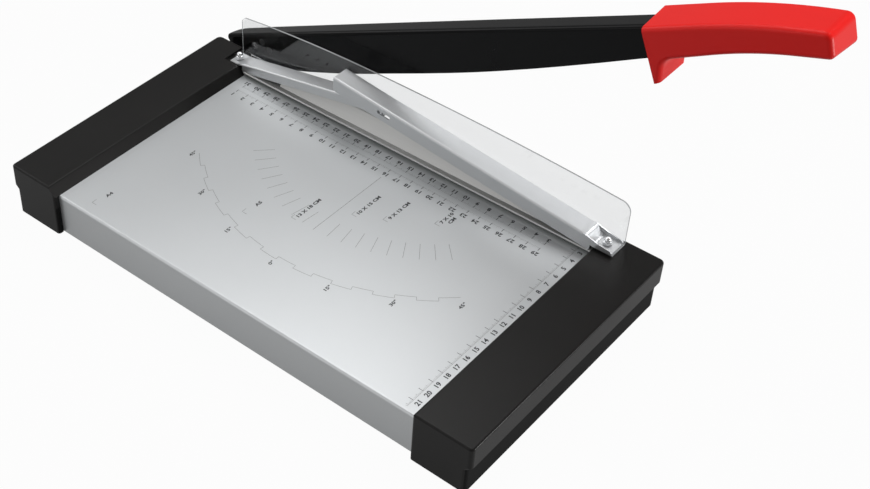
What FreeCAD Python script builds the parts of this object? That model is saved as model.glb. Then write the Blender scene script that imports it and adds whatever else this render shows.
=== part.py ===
import FreeCAD, Part
import math
import os

# Lever paper cutter. Millimetres, Z up from the desk, X along the cutting edge from the pivot end to the handle
# end, Y from the front of the table to the knife. Everything is built about the middle of the base. At export it
# is moved so that the origin lies on the desk under the middle of the whole machine with its arm raised.

V = FreeCAD.Vector
UP = V(0, 0, 1)
BACK = V(0, 1, 0)
ORIGIN_SHIFT = V(-36.0, -14.7, 0)

# Table, one folded sheet
TABLE_TOP = 36.0
TABLE_T = 1.2
TABLE_HALF = 160.0          # half the width seen between the end caps: 320 mm of scale
TABLE_TUCK = 20.0           # tucked under each cap
TABLE_FRONT = -108.2
TABLE_BEND = 2.0
APRON_BOTTOM = 3.5
TABLE_UNDER = TABLE_TOP - TABLE_T
STIFFENER_X = 0.44 * TABLE_HALF
STIFFENER_H = 14.0
STIFFENER_W = 24.0
STIFFENER_T = 1.5
STIFFENER_HOLE_R = 4.0
STIFFENER_HOLE_YS = (-60.0, 0.0, 50.0)

# Knife and the rail behind the table
CUT_Y = 112.5               # back face of the counter knife: the cutting plane
KNIFE_T = 3.5
KNIFE_BOTTOM = 10.0
RAIL_T = 2.5
RAIL_BOTTOM = 8.0
RAIL_SHELF = 16.5           # depth of the shelf under the table
RAIL_SHELF_T = 3.5
RAIL_FILLET = 2.0
RAIL_SHELF_HALF = TABLE_HALF - 4.0
KNIFE_SCREWS = 6
KNIFE_SCREW_PITCH = 0.375 * TABLE_HALF
KNIFE_SCREW_Z = 23.0
KNIFE_SCREW_R = 2.0

# End caps
CAP_W = 45.0
CAP_OUT = TABLE_HALF + CAP_W
CAP_FRONT = TABLE_FRONT - 4.3
CAP_BACK = CUT_Y - KNIFE_T - RAIL_T
CAP_TOP = TABLE_TOP + 7.5
CAP_BOTTOM = 2.5
CAP_LIP = 17.5              # height of the outer lip
CAP_SET_IN = 3.0            # the skirt below the lip stands in by this much
PIVOT_BEVEL = 5.5           # run of the sloping inner wall above the table, pivot cap
HANDLE_BEVEL = 0.5          # the same, handle cap
CAP_WALL = 2.5
CAP_CORNER = 3.0
CAP_INNER_CORNER = 2.0
CAP_BACK_CORNER = 4.0
CAP_EDGE = 1.5
CAP_SKIRT = CAP_OUT - CAP_SET_IN
LIP_BOTTOM = CAP_TOP - CAP_LIP
SKIRT_TOP = LIP_BOTTOM - CAP_SET_IN
CAP_CEILING = CAP_TOP - CAP_WALL
CAP_RIB_YS = (-70.0, -30.0, 10.0, 50.0)
CAP_RIB_T = 1.8
CAP_RIB_BOTTOM = 14.0
BOSS_YS = (-92.0, -10.0, 66.0)
BOSS_X = TABLE_HALF + 12.0
BOSS_R = 3.6
CAP_SCREW_R = 1.5
CAP_SCREW_HEAD_R = 3.0
CAP_SCREW_HEAD = 2.0
CAP_SCREW_GRIP = 4.5        # depth in the boss
SCREW_FIT = 0.03
SLOT_FIT = 0.05
POCKET_LENGTH = 19.5        # pocket in the pivot cap for the clamp lever
POCKET_FRONT = 85.5
POCKET_FLOOR = CAP_TOP - 2.0
POCKET_FLOOR_T = 1.3
RAIL_HALF = TABLE_HALF + 34.0
KNIFE_ENDS = (-TABLE_HALF - 36.0, TABLE_HALF + 16.0)

# Feet
FOOT_X = TABLE_HALF + 28.0
FOOT_YS = (-94.0, 80.0)
FOOT_R = 7.0
FOOT_DRAFT = 1.0
FOOT_H = 5.5
FOOT_RECESS = 2.6
FOOT_RECESS_R = 4.0
FOOT_POST_R = 6.0
FOOT_SCREW_R = 1.75
FOOT_SCREW_L = 16.0

# Pivot of the knife arm
PIVOT_X = -TABLE_HALF - 22.0
PIVOT_Z = 27.0
BOLT_R = 4.0
BUSH_R = 6.0
BUSH_FIT = 0.05
PRESS_FIT = 0.02
RUN_GAP = 0.1
WASHER_T = 1.2
WASHER_R = 8.0
SPRING_WASHER_T = 1.8
SPRING_WASHER_R = 7.0
BOLT_HEAD_T = 3.6
BOLT_FLATS = 13.0
NUT_T = 7.0
NUT_COLLAR = 2.0
NUT_CLEAR_R = 9.0
ARM_RAISED = 24.6           # degrees above the closed position

# Knife arm, drawn closed with the pivot at the origin
ARM_T = 2.5
ARM_TOP = 21.9
ARM_FOLD = 3.0
ARM_TAIL = -13.0
ARM_END = 2 * TABLE_HALF + 61.0
ARM_FLANGE_TAIL = 13.0      # width of the flange where the rounded tail ends
ARM_FLANGE_MID = 15.3
ARM_FLANGE_END = 16.7
ARM_TAIL_RUN = 15.0
EYE_R = 13.0
EDGE_START = (56.0, -9.6)
EDGE_STOP = (ARM_END - 3.5, 0.0)
EDGE_BELLY = ((0.12, -11.5), (0.32, -11.8), (0.53, -10.7), (0.76, -6.6))   # share of the edge's length, height
BEVEL_H = 4.5
BEVEL_LAND = 0.2
TANG_END = ARM_END + 69.0
TANG_Z = (3.0, 17.0)
BRACKET_T = 3.0
BRACKET_END = 40.0
RIVETS = ((17.6, 12.0), (26.8, 15.2), (31.7, 8.4))
RIVET_R = 2.8
RIVET_HEAD_R = 4.0
RIVET_HEAD = 1.4

# Handle, from the end of the arm: along, height
GRIP_Y = (-3.5, 29.3)
GRIP_TOP = 21.7
GRIP_CROWN = (75.2, 23.7)
GRIP_CROWN_SHARE = 0.88     # of the shorter side beside the corner, taken up by its curve
GRIP_END = (122.9, 15.9)
GRIP_END_R = 5.5
GRIP_HEEL = (121.3, -1.0)
GRIP_HEEL_R = 3.4
GRIP_ARCH = (70.3, 4.5)
GRIP_BACK_TOP = 23.8        # the section grows towards the arm's far side
GRIP_BACK_CROWN = (75.2, 25.2)
GRIP_BACK_HEEL = (121.2, -4.2)
GRIP_BACK_ARCH = (70.3, 3.0)
GRIP_ARCH_SHARE = 0.53
GUARD_ROOT = (9.5, -0.6)
GUARD_ROOT_R = 11.0
GUARD_TIP = (3.6, -16.0)
GRIP_ROUND = 3.4
GRIP_SCREWS = (17.0, 57.0)
GRIP_SCREW_R = 2.0
GRIP_SCREW_HEAD_R = 4.0
GRIP_SCREW_HEAD = 2.6
GRIP_SCREW_DEPTH = 6.0
GRIP_SCREW_TIP = 1.8

# Posts at the ends of the clamp levers
POST_XS = (-TABLE_HALF - 10.0, TABLE_HALF + 7.3)
POST_Y = 92.5
POST_R = 2.0
POST_FIT = 0.08
POST_HOLE_FIT = 0.3
POST_CLEAR_R = 5.0          # hole in the table for the spring
BRIDGE_TOP = TABLE_TOP - 9.0    # bridges under the table that carry the posts
BRIDGE_T = 2.0
BRIDGE_HALF = 8.0
BRIDGE_FLANGE = 6.0
BRIDGE_W = 9.0
POST_NUT_T = 3.2
POST_NUT_FLATS = 7.0
POST_COLLAR = 1.5
LOOSE = 0.3                 # play of a part that rocks between two others
WASHER_H = 0.6
POST_WASHER_R = 3.2
BALL_R = 2.5
BALL_RISE = 2.6             # ball centre above the washer
BALL_HEX = 1.8
BALL_HEX_FLATS = 5.5
STUD_IN_NUT = 3.6
SPRING_R = 3.3
SPRING_WIRE = 0.4
SPRING_TURNS = 4

# Finger guard, clear sheet
GUARD_FRONT = 101.0
GUARD_T = 1.2
GUARD_BEND = 0.8
GUARD_LOW = TABLE_TOP + 9.0
GUARD_FOOT_FRONT = 85.5
GUARD_ENDS = (-TABLE_HALF - 14.5, TABLE_HALF + 15.5)
GUARD_FOOT_LENGTHS = (8.5, 14.0)
GUARD_SIDES = (35.5, 35.8)  # height over the table where the corners start
GUARD_CORNERS = ((1.6, 39.3), (2.2, 40.9))      # middle of each corner: in from the end, height
GUARD_SHOULDERS = ((5.5, 40.9), (8.0, 43.2))    # where the corners end
GUARD_CROWN = ((0.156, 45.6), (0.47, 48.9), (0.836, 46.1))  # share of the length, height

# Paper clamp
CLAMP_FOOT = (85.0, 97.9)
CLAMP_LIFT = 2.2            # gap over the table at rest
CLAMP_FOOT_T = 1.7
CLAMP_HALF = TABLE_HALF - 0.5
CLAMP_UNDER = TABLE_TOP + CLAMP_LIFT
CLAMP_FOOT_TOP = CLAMP_UNDER + CLAMP_FOOT_T
CLAMP_WEB_T = 1.6
CLAMP_TOP = TABLE_TOP + 15.0
CLAMP_FACE = (89.0, 95.7)
CLAMP_WALL = 1.3
CLAMP_LIP_R = 0.7
CLAMP_UPRIGHT = (-TABLE_HALF + 35.0, TABLE_HALF - 8.0)
TONGUE = (87.5, 97.5)
TONGUE_GAP = 1.0
TONGUE_HALF = TABLE_HALF + 16.0

# Clamp levers, folded sheet
LEVER_T = 1.0
LEVER_FOLD = 1.5
LEFT_GUARD_FOOT = POCKET_FLOOR
RIGHT_GUARD_FOOT = CAP_TOP
LEFT_TAB_Z = LEFT_GUARD_FOOT + GUARD_T + LOOSE
RIGHT_TAB_Z = RIGHT_GUARD_FOOT + GUARD_T + LOOSE
RIGHT_W = 16.0
RIGHT_END = -TABLE_HALF + 92.0
RIGHT_END_TOP = TABLE_TOP + 41.5
RIGHT_STEP = (TABLE_HALF - 5.0, TABLE_HALF)
RIGHT_STEP_TOP = TABLE_TOP + 15.97
RIGHT_SLOPE = (RIGHT_END_TOP - RIGHT_STEP_TOP) / (RIGHT_STEP[0] - RIGHT_END)
RIGHT_DEPTH = 11.6
RIGHT_TAB_END = TABLE_HALF + 15.0
UPSTAND = (4.2, 3.1)        # low walls beside the tab, at its start and its end
LEFT_W = 13.4
LEFT_TAB = (-TABLE_HALF - 14.0, -TABLE_HALF - 6.5)
LEFT_RAMP_END = -TABLE_HALF
LEFT_START_TOP = TABLE_TOP + 10.15
LEFT_WEB_END = -TABLE_HALF + 128.0
LEFT_END_TOP = TABLE_TOP + 34.47
LEFT_SLOPE = (LEFT_END_TOP - LEFT_START_TOP) / (LEFT_WEB_END - LEFT_RAMP_END)
LEFT_DEPTH = 7.5
LEFT_EAR = 13.0
PIN_X = LEFT_WEB_END + 9.0
PIN_R = 1.1
SLOT_CENTRE_X = PIN_X + 2.6
SLOT_DROP = 5.55            # slot line below the web of the lever
SLOT_LENGTH = 12.0
SLOT_HALF = 1.5
CLAMP_PIN_XS = (POST_XS[0] + 56.0, POST_XS[1] - 71.8)
CLAMP_PIN_Z = CLAMP_TOP - 1.7
CLAMP_PIN_R = 1.0
CLAMP_PIN_PLAY = 0.1
CLAMP_PIN_SLOT = 3.4

ARM_NEAR = CUT_Y + RUN_GAP
BRACKET_FAR = ARM_NEAR + ARM_T + BRACKET_T
BUSH_END = BRACKET_FAR + 2 * RUN_GAP
WASHER_START = BUSH_END + RUN_GAP


def box(x0, x1, y0, y1, z0, z1):
    return Part.makeBox(x1 - x0, y1 - y0, z1 - z0, V(x0, y0, z0))


def rod(r, base, length, axis=UP):
    return Part.makeCylinder(r, length, base, axis)


def fuse(shapes):
    whole = shapes[0].fuse(shapes[1:]) if len(shapes) > 1 else shapes[0]
    return whole.removeSplitter()


def group(shapes):
    return Part.makeCompound(shapes)


def placer(axis, level):
    """Puts a flat point (a, b) into the plane across one axis, at one level."""
    if axis == "x":
        return lambda a, b: V(level, a, b)
    if axis == "y":
        return lambda a, b: V(a, level, b)
    return lambda a, b: V(a, b, level)


def along(axis, length):
    return {"x": V(length, 0, 0), "y": V(0, length, 0), "z": V(0, 0, length)}[axis]


def outline(points, radii, place):
    """Closed outline whose corners are rounded by their own radii; 0 keeps a corner sharp."""
    corners = []
    for i, (a, b) in enumerate(points):
        here = V(a, b, 0)
        before = V(*points[i - 1], 0) - here
        after = V(*points[(i + 1) % len(points)], 0) - here
        before.normalize()
        after.normalize()
        half = before.getAngle(after) / 2
        reach = radii[i] / math.tan(half)
        middle = before + after
        if middle.Length > 1e-9:
            middle.normalize()
        bulge = here + middle * (radii[i] / math.sin(half) - radii[i])
        corners.append((here + before * reach, bulge, here + after * reach))
    edges = []
    for i, (start, bulge, stop) in enumerate(corners):
        if radii[i] > 0:
            arc = Part.Arc(place(start.x, start.y), place(bulge.x, bulge.y), place(stop.x, stop.y))
            edges.append(arc.toShape())
        onward = corners[(i + 1) % len(corners)][0]
        if stop.distanceToPoint(onward) > 1e-6:
            edges.append(Part.makeLine(place(stop.x, stop.y), place(onward.x, onward.y)))
    return Part.Wire(edges)


def curve_radius(points, i, share):
    """Radius of a corner whose arc takes this share of the shorter side beside it."""
    here = V(*points[i], 0)
    before = V(*points[i - 1], 0) - here
    after = V(*points[(i + 1) % len(points)], 0) - here
    return share * min(before.Length, after.Length) * math.tan(before.getAngle(after) / 2)


def prism(axis, lo, hi, points, radii=None):
    """Solid with a constant section across one axis."""
    ring = outline(points, radii or [0] * len(points), placer(axis, lo))
    return Part.Face(ring).extrude(along(axis, hi - lo))


def hexagon(flats, base, height, axis=UP):
    side = V(1, 0, 0)
    other = axis.cross(side)
    r = flats / math.sqrt(3)
    turns = [math.radians(60 * k) for k in range(7)]
    ring = [base + side * (r * math.cos(t)) + other * (r * math.sin(t)) for t in turns]
    return Part.Face(Part.makePolygon(ring)).extrude(axis * height)


def rounded(shape, radius, chosen):
    """Rounds the edges that the test picks by their centre and direction."""
    picked = [e for e in shape.Edges if chosen(e)]
    return shape.makeFillet(radius, picked)


def runs_along(edge, axis):
    """True for a straight edge along an axis."""
    if not isinstance(edge.Curve, Part.Line):
        return False
    ends = edge.Vertexes[1].Point - edge.Vertexes[0].Point
    return abs(abs(getattr(ends, axis)) - ends.Length) < 1e-6


# ---- Table and frame ----

def table_section():
    """Section of the folded sheet: top face, front bend, apron."""
    back = CUT_Y - KNIFE_T
    inner = TABLE_FRONT + TABLE_T
    points = [(back, TABLE_TOP), (TABLE_FRONT, TABLE_TOP), (TABLE_FRONT, APRON_BOTTOM), (inner, APRON_BOTTOM),
              (inner, TABLE_UNDER), (back, TABLE_UNDER)]
    return points, [0, TABLE_BEND, 0, 0, TABLE_BEND - TABLE_T, 0]


def table_plate():
    points, radii = table_section()
    half = TABLE_HALF + TABLE_TUCK
    plate = prism("x", -half, half, points, radii)
    drill = [rod(POST_CLEAR_R, V(x, POST_Y, TABLE_UNDER - 1), TABLE_T + 2) for x in POST_XS]
    for side in (-1, 1):
        for y in BOSS_YS:
            drill.append(rod(CAP_SCREW_R + 0.1, V(side * BOSS_X, y, TABLE_UNDER - 1), TABLE_T + 2))
    return plate.cut(drill)


def cross_stiffeners():
    """Two channels under the table, front to back, with lightening holes in their walls."""
    y0 = TABLE_FRONT + TABLE_BEND
    y1 = CAP_BACK - RAIL_SHELF
    channels = []
    for x in (-STIFFENER_X, STIFFENER_X):
        x0 = x - STIFFENER_W / 2
        x1 = x + STIFFENER_W / 2
        z0 = TABLE_UNDER - STIFFENER_H
        channel = box(x0, x1, y0, y1, z0, TABLE_UNDER)
        channel = channel.cut(box(x0 + STIFFENER_T, x1 - STIFFENER_T, y0, y1, z0, TABLE_UNDER - STIFFENER_T))
        mid = (z0 + TABLE_UNDER - STIFFENER_T) / 2
        holes = [rod(STIFFENER_HOLE_R, V(x0 - 1, y, mid), STIFFENER_W + 2, V(1, 0, 0)) for y in STIFFENER_HOLE_YS]
        channels.append(channel.cut(holes))
    return group(channels)


def pivot_rod(r, start, stop):
    return rod(r, V(PIVOT_X, start, PIVOT_Z), stop - start, BACK)


def knife_screw_xs():
    return [(k - (KNIFE_SCREWS - 1) / 2) * KNIFE_SCREW_PITCH for k in range(KNIFE_SCREWS)]


def rear_rail():
    wall = box(-RAIL_HALF, RAIL_HALF, CAP_BACK, CAP_BACK + RAIL_T, RAIL_BOTTOM, TABLE_UNDER)
    shelf = box(-RAIL_SHELF_HALF, RAIL_SHELF_HALF, CAP_BACK - RAIL_SHELF, CAP_BACK, TABLE_UNDER - RAIL_SHELF_T,
                TABLE_UNDER)
    rail = fuse([wall, shelf])
    inside = [e for e in rail.Edges if runs_along(e, "x") and abs(e.CenterOfMass.y - CAP_BACK) < 0.01
              and abs(e.CenterOfMass.z - TABLE_UNDER + RAIL_SHELF_T) < 0.01]
    rail = rail.makeFillet(RAIL_FILLET, inside)
    holes = [rod(KNIFE_SCREW_R + PRESS_FIT, V(x, CAP_BACK - 1, KNIFE_SCREW_Z), RAIL_T + 2, BACK)
             for x in knife_screw_xs()]
    holes.append(pivot_rod(BOLT_R + PRESS_FIT, CAP_BACK - 1, CUT_Y))
    return rail.cut(holes)


def countersunk(r, head_r, face, length, axis):
    """Countersunk screw whose flat head ends at the face; the axis points out of the face."""
    cone = Part.makeCone(r, head_r, head_r - r, face - axis * (head_r - r), axis)
    return fuse([rod(r, face - axis * length, length, axis), cone])


def counter_knife():
    x0, x1 = KNIFE_ENDS
    bar = box(x0, x1, CUT_Y - KNIFE_T, CUT_Y, KNIFE_BOTTOM, TABLE_TOP)
    length = KNIFE_T + RAIL_T
    r = KNIFE_SCREW_R + PRESS_FIT
    seats = [countersunk(r, 2 * KNIFE_SCREW_R + PRESS_FIT, V(x, CUT_Y, KNIFE_SCREW_Z), length, BACK)
             for x in knife_screw_xs()]
    seats.append(pivot_rod(BOLT_R + PRESS_FIT, CUT_Y - KNIFE_T - 1, CUT_Y + 1))
    return bar.cut(seats)


def knife_screws():
    length = KNIFE_T + RAIL_T + 0.5
    screws = []
    for x in knife_screw_xs():
        face = V(x, CUT_Y, KNIFE_SCREW_Z)
        screw = countersunk(KNIFE_SCREW_R, 2 * KNIFE_SCREW_R, face, length, BACK)
        screws.append(screw.cut(hexagon(2.5, face - BACK * 1.2, 1.3, BACK)))
    return group(screws)


# ---- End caps, moulded, built at the pivot end and mirrored for the handle end ----

def cap_ring(outer, z):
    points = [(-outer, CAP_FRONT), (-TABLE_HALF, CAP_FRONT), (-TABLE_HALF, CAP_BACK), (-outer, CAP_BACK)]
    return outline(points, [CAP_CORNER, CAP_INNER_CORNER, 0, CAP_BACK_CORNER], placer("z", z))


def cap_block(outer, z0, z1):
    return Part.Face(cap_ring(outer, z0)).extrude(along("z", z1 - z0))


def cap_shell(bevel):
    """Lip, sloping step under it and skirt, with the sloping inner wall beside the table."""
    lip = cap_block(CAP_OUT, LIP_BOTTOM, CAP_TOP)
    slope = [(-TABLE_HALF, TABLE_TOP), (-TABLE_HALF + 9, TABLE_TOP), (-TABLE_HALF + 9, CAP_TOP + 1),
             (-TABLE_HALF - bevel, CAP_TOP + 1), (-TABLE_HALF - bevel, CAP_TOP)]
    lip = lip.cut(prism("y", CAP_FRONT - 1, CAP_BACK + 1, slope))
    lip = rounded(lip, CAP_EDGE, lambda e: abs(e.CenterOfMass.z - CAP_TOP) < 0.01
                  and e.CenterOfMass.y < CAP_BACK - 0.01)
    step = Part.makeLoft([cap_ring(CAP_SKIRT, SKIRT_TOP), cap_ring(CAP_OUT, LIP_BOTTOM)], True, True)
    skirt = cap_block(CAP_SKIRT, CAP_BOTTOM, SKIRT_TOP)
    return fuse([lip, step, skirt])


def cap_hollow(bevel):
    """Space inside the walls, open below."""
    w = CAP_WALL
    x_in = -TABLE_HALF - w
    lean = bevel * (CAP_CEILING - TABLE_TOP) / (CAP_TOP - TABLE_TOP)
    points = [(-CAP_OUT + w, CAP_CEILING), (x_in - lean, CAP_CEILING), (x_in, TABLE_TOP),
              (x_in, CAP_BOTTOM - 1), (-CAP_SKIRT + w, CAP_BOTTOM - 1), (-CAP_SKIRT + w, SKIRT_TOP + 1),
              (-CAP_OUT + w, LIP_BOTTOM + 1)]
    return prism("y", CAP_FRONT + w, CAP_BACK - w, points)


def table_slot():
    """Slot in the inner wall and between the bosses where the table's sheet passes."""
    back = CUT_Y - KNIFE_T
    inner = TABLE_FRONT + TABLE_T + SLOT_FIT
    outer = TABLE_FRONT - SLOT_FIT
    points = [(back, TABLE_TOP), (outer, TABLE_TOP), (outer, APRON_BOTTOM - 2), (inner, APRON_BOTTOM - 2),
              (inner, TABLE_UNDER - SLOT_FIT), (back, TABLE_UNDER - SLOT_FIT)]
    radii = [0, TABLE_BEND, 0, 0, TABLE_BEND - TABLE_T, 0]
    return prism("x", -TABLE_HALF - TABLE_TUCK - 0.5, -TABLE_HALF + 1, points, radii)


def end_cap(post_x, pivot_end):
    bevel = PIVOT_BEVEL if pivot_end else HANDLE_BEVEL
    shell = cap_shell(bevel)
    hollow = cap_hollow(bevel)
    ceiling = CAP_CEILING
    ribs = []
    for y in CAP_RIB_YS:
        ribs.append(box(-CAP_OUT + 1, -TABLE_HALF - TABLE_TUCK - 1, y - CAP_RIB_T / 2, y + CAP_RIB_T / 2,
                        CAP_RIB_BOTTOM, ceiling + 1).common(hollow))
    for y in FOOT_YS:
        ribs.append(rod(FOOT_POST_R, V(-FOOT_X, y, FOOT_H), ceiling + 1 - FOOT_H))
        ribs.append(box(-CAP_SKIRT + 1, -FOOT_X, y - CAP_RIB_T / 2, y + CAP_RIB_T / 2, CAP_RIB_BOTTOM, ceiling))
    for y in BOSS_YS:
        ribs.append(rod(BOSS_R, V(-BOSS_X, y, TABLE_TOP), ceiling + 1 - TABLE_TOP))
    if pivot_end:
        under = POCKET_FLOOR - POCKET_FLOOR_T
        ribs.append(box(-TABLE_HALF - POCKET_LENGTH - CAP_WALL, -TABLE_HALF - 4.0, POCKET_FRONT - CAP_WALL,
                        CAP_BACK - 1, under, ceiling + 1))
    cap = fuse([shell.cut(hollow)] + ribs)
    gaps = [table_slot()]
    gaps.append(box(-TABLE_HALF - bevel - 2 * CAP_WALL, -TABLE_HALF + 1, TONGUE[0] - TONGUE_GAP,
                    TONGUE[1] + TONGUE_GAP, TABLE_TOP - 0.5, POCKET_FLOOR - POCKET_FLOOR_T))
    gaps.append(rod(POST_R + POST_HOLE_FIT, V(post_x, POST_Y, TABLE_TOP), CAP_TOP - TABLE_TOP + 1))
    for y in FOOT_YS:
        gaps.append(rod(FOOT_SCREW_R + SCREW_FIT, V(-FOOT_X, y, FOOT_H - 1), FOOT_SCREW_L))
    for y in BOSS_YS:
        gaps.append(rod(CAP_SCREW_R + SCREW_FIT, V(-BOSS_X, y, TABLE_TOP - 1),
                        CAP_SCREW_GRIP + 1.3))
    if pivot_end:
        gaps.append(box(-TABLE_HALF - POCKET_LENGTH, -TABLE_HALF + 1, POCKET_FRONT, CAP_BACK + 1, POCKET_FLOOR,
                        CAP_TOP + 1))
        gaps.append(pivot_rod(NUT_CLEAR_R, CAP_BACK - CAP_WALL - 1, CAP_BACK + 1))
    return cap.cut(gaps)


def cap_screws():
    """Pan head screws from below, through the table into the caps' bosses."""
    screws = []
    for side in (-1, 1):
        for y in BOSS_YS:
            base = V(side * BOSS_X, y, TABLE_UNDER)
            head = Part.makeCone(CAP_SCREW_HEAD_R, 0.8 * CAP_SCREW_HEAD_R, CAP_SCREW_HEAD, base, UP * -1)
            screws.append(fuse([head, rod(CAP_SCREW_R, base, TABLE_T + CAP_SCREW_GRIP)]))
    return group(screws)


def rubber_feet():
    """Round feet with a drafted side and a recess for the screw's head."""
    feet = []
    for side in (-1, 1):
        for y in FOOT_YS:
            base = V(side * FOOT_X, y, 0)
            foot = Part.makeCone(FOOT_R, FOOT_R - FOOT_DRAFT, FOOT_H, base)
            foot = foot.cut(rod(FOOT_RECESS_R, base, FOOT_RECESS))
            foot = foot.cut(rod(FOOT_SCREW_R + SCREW_FIT, base, FOOT_H))
            feet.append(foot)
    return group(feet)


def foot_screws():
    screws = []
    for side in (-1, 1):
        for y in FOOT_YS:
            base = V(side * FOOT_X, y, FOOT_RECESS)
            head = rod(FOOT_RECESS_R - 2 * LOOSE, base - UP * 1.6, 1.6)
            screws.append(fuse([head, rod(FOOT_SCREW_R, base, FOOT_SCREW_L)]))
    return group(screws)


# ---- Posts at the lever ends ----

def post_brackets():
    """Bridges under the table: a web that carries the post, two legs and two flanges against the sheet."""
    bridges = []
    for x in POST_XS:
        x0 = x - BRIDGE_W / 2
        x1 = x + BRIDGE_W / 2
        a = BRIDGE_HALF
        b = BRIDGE_HALF + BRIDGE_FLANGE
        t = BRIDGE_T
        low = BRIDGE_TOP - t
        inner = TABLE_UNDER - t
        toe = CAP_BACK - CAP_WALL - LOOSE - POST_Y
        points = [(-b, TABLE_UNDER), (-a + t, TABLE_UNDER), (-a + t, BRIDGE_TOP), (a - t, BRIDGE_TOP),
                  (a - t, TABLE_UNDER), (toe, TABLE_UNDER), (toe, inner), (a, inner), (a, low), (-a, low),
                  (-a, inner), (-b, inner)]
        bridge = prism("x", x0, x1, [(POST_Y + y, z) for y, z in points])
        bridges.append(bridge.cut(rod(POST_R + PRESS_FIT, V(x, POST_Y, low - 1), t + 2)))
    return group(bridges)


def washer_base(i):
    tab = (LEFT_TAB_Z, RIGHT_TAB_Z)[i]
    return tab + LEVER_T + LOOSE


def clamp_posts():
    """Studs with a collar that stands on the bridge, inside the spring."""
    studs = []
    for i, x in enumerate(POST_XS):
        low = BRIDGE_TOP - BRIDGE_T - POST_NUT_T - 1.0
        top = washer_base(i) + WASHER_H + STUD_IN_NUT
        stud = rod(POST_R, V(x, POST_Y, low), top - low)
        studs.append(fuse([stud, rod(SPRING_R - SPRING_WIRE - 0.2, V(x, POST_Y, BRIDGE_TOP), POST_COLLAR)]))
    return group(studs)


def post_nuts():
    nuts = []
    for x in POST_XS:
        base = V(x, POST_Y, BRIDGE_TOP - BRIDGE_T - POST_NUT_T)
        nut = hexagon(POST_NUT_FLATS, base, POST_NUT_T)
        nuts.append(nut.cut(rod(POST_R + PRESS_FIT, base - UP, POST_NUT_T + 2)))
    return group(nuts)


def post_washers():
    rings = []
    for i, x in enumerate(POST_XS):
        base = V(x, POST_Y, washer_base(i))
        rings.append(rod(POST_WASHER_R, base, WASHER_H).cut(rod(POST_R + PRESS_FIT, base - UP, WASHER_H + 2)))
    return group(rings)


def dome_nuts():
    """Nuts with a low hexagon and a ball on top, closed above the stud."""
    nuts = []
    for i, x in enumerate(POST_XS):
        base = V(x, POST_Y, washer_base(i) + WASHER_H)
        ball = Part.makeSphere(BALL_R, base + UP * BALL_RISE)
        neck = rod(BALL_R - 0.2, base, BALL_RISE)
        nut = fuse([hexagon(BALL_HEX_FLATS, base, BALL_HEX), neck, ball])
        nuts.append(nut.cut(rod(POST_R + PRESS_FIT, base, STUD_IN_NUT + 0.1)))
    return group(nuts)


def clamp_springs():
    """Compression springs of square wire between the bridges and the tongues of the clamp bar."""
    springs = []
    z0 = BRIDGE_TOP + SPRING_WIRE
    height = CLAMP_UNDER - BRIDGE_TOP - 2 * SPRING_WIRE
    for x in POST_XS:
        path = Part.makeHelix(height / SPRING_TURNS, height, SPRING_R)
        corners = [(SPRING_WIRE, 0), (0, SPRING_WIRE), (-SPRING_WIRE, 0), (0, -SPRING_WIRE), (SPRING_WIRE, 0)]
        ring = Part.makePolygon([V(SPRING_R + a, 0, b) for a, b in corners])
        wire = Part.Wire(path.Edges).makePipeShell([ring], True, True)
        wire.translate(V(x, POST_Y, z0))
        springs.append(wire)
    return group(springs)


# ---- Finger guard ----

def guard_foot(x0, x1, level):
    """Foot under a clamp lever, the bend behind it and the start of the upright."""
    back = GUARD_FRONT + GUARD_T
    points = [(GUARD_FOOT_FRONT, level), (back, level), (back, GUARD_LOW + 1), (GUARD_FRONT, GUARD_LOW + 1),
              (GUARD_FRONT, level + GUARD_T), (GUARD_FOOT_FRONT, level + GUARD_T)]
    return prism("x", x0, x1, points, [0, GUARD_BEND + GUARD_T, 0, 0, GUARD_BEND, 0])


def finger_guard():
    """Tall sheet with an arched top edge, standing on a bent foot at each end."""
    place = placer("y", GUARD_FRONT)
    x0, x1 = GUARD_ENDS
    left = place(x0, TABLE_TOP + GUARD_SIDES[0])
    right = place(x1, TABLE_TOP + GUARD_SIDES[1])
    corners = [place(x0 + GUARD_CORNERS[0][0], TABLE_TOP + GUARD_CORNERS[0][1]),
               place(x1 - GUARD_CORNERS[1][0], TABLE_TOP + GUARD_CORNERS[1][1])]
    shoulders = [place(x0 + GUARD_SHOULDERS[0][0], TABLE_TOP + GUARD_SHOULDERS[0][1]),
                 place(x1 - GUARD_SHOULDERS[1][0], TABLE_TOP + GUARD_SHOULDERS[1][1])]
    arch = [place(x0 + share * (x1 - x0), TABLE_TOP + z) for share, z in GUARD_CROWN]
    crown = Part.BSplineCurve()
    crown.interpolate([shoulders[0]] + arch + [shoulders[1]])
    first = Part.Arc(left, corners[0], shoulders[0])
    last = Part.Arc(shoulders[1], corners[1], right)
    foot_left = place(x0, GUARD_LOW)
    foot_right = place(x1, GUARD_LOW)
    edges = [Part.makeLine(foot_left, left), first.toShape(), crown.toShape(), last.toShape(),
             Part.makeLine(right, foot_right), Part.makeLine(foot_right, foot_left)]
    sheet = Part.Face(Part.Wire(edges)).extrude(along("y", GUARD_T))
    feet = [guard_foot(x0, x0 + GUARD_FOOT_LENGTHS[0], LEFT_GUARD_FOOT),
            guard_foot(x1 - GUARD_FOOT_LENGTHS[1], x1, RIGHT_GUARD_FOOT)]
    guard = fuse([sheet] + feet)
    holes = [rod(POST_R + POST_FIT, V(x, POST_Y, TABLE_TOP), GUARD_LOW) for x in POST_XS]
    return guard.cut(holes)


# ---- Paper clamp ----

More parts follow.
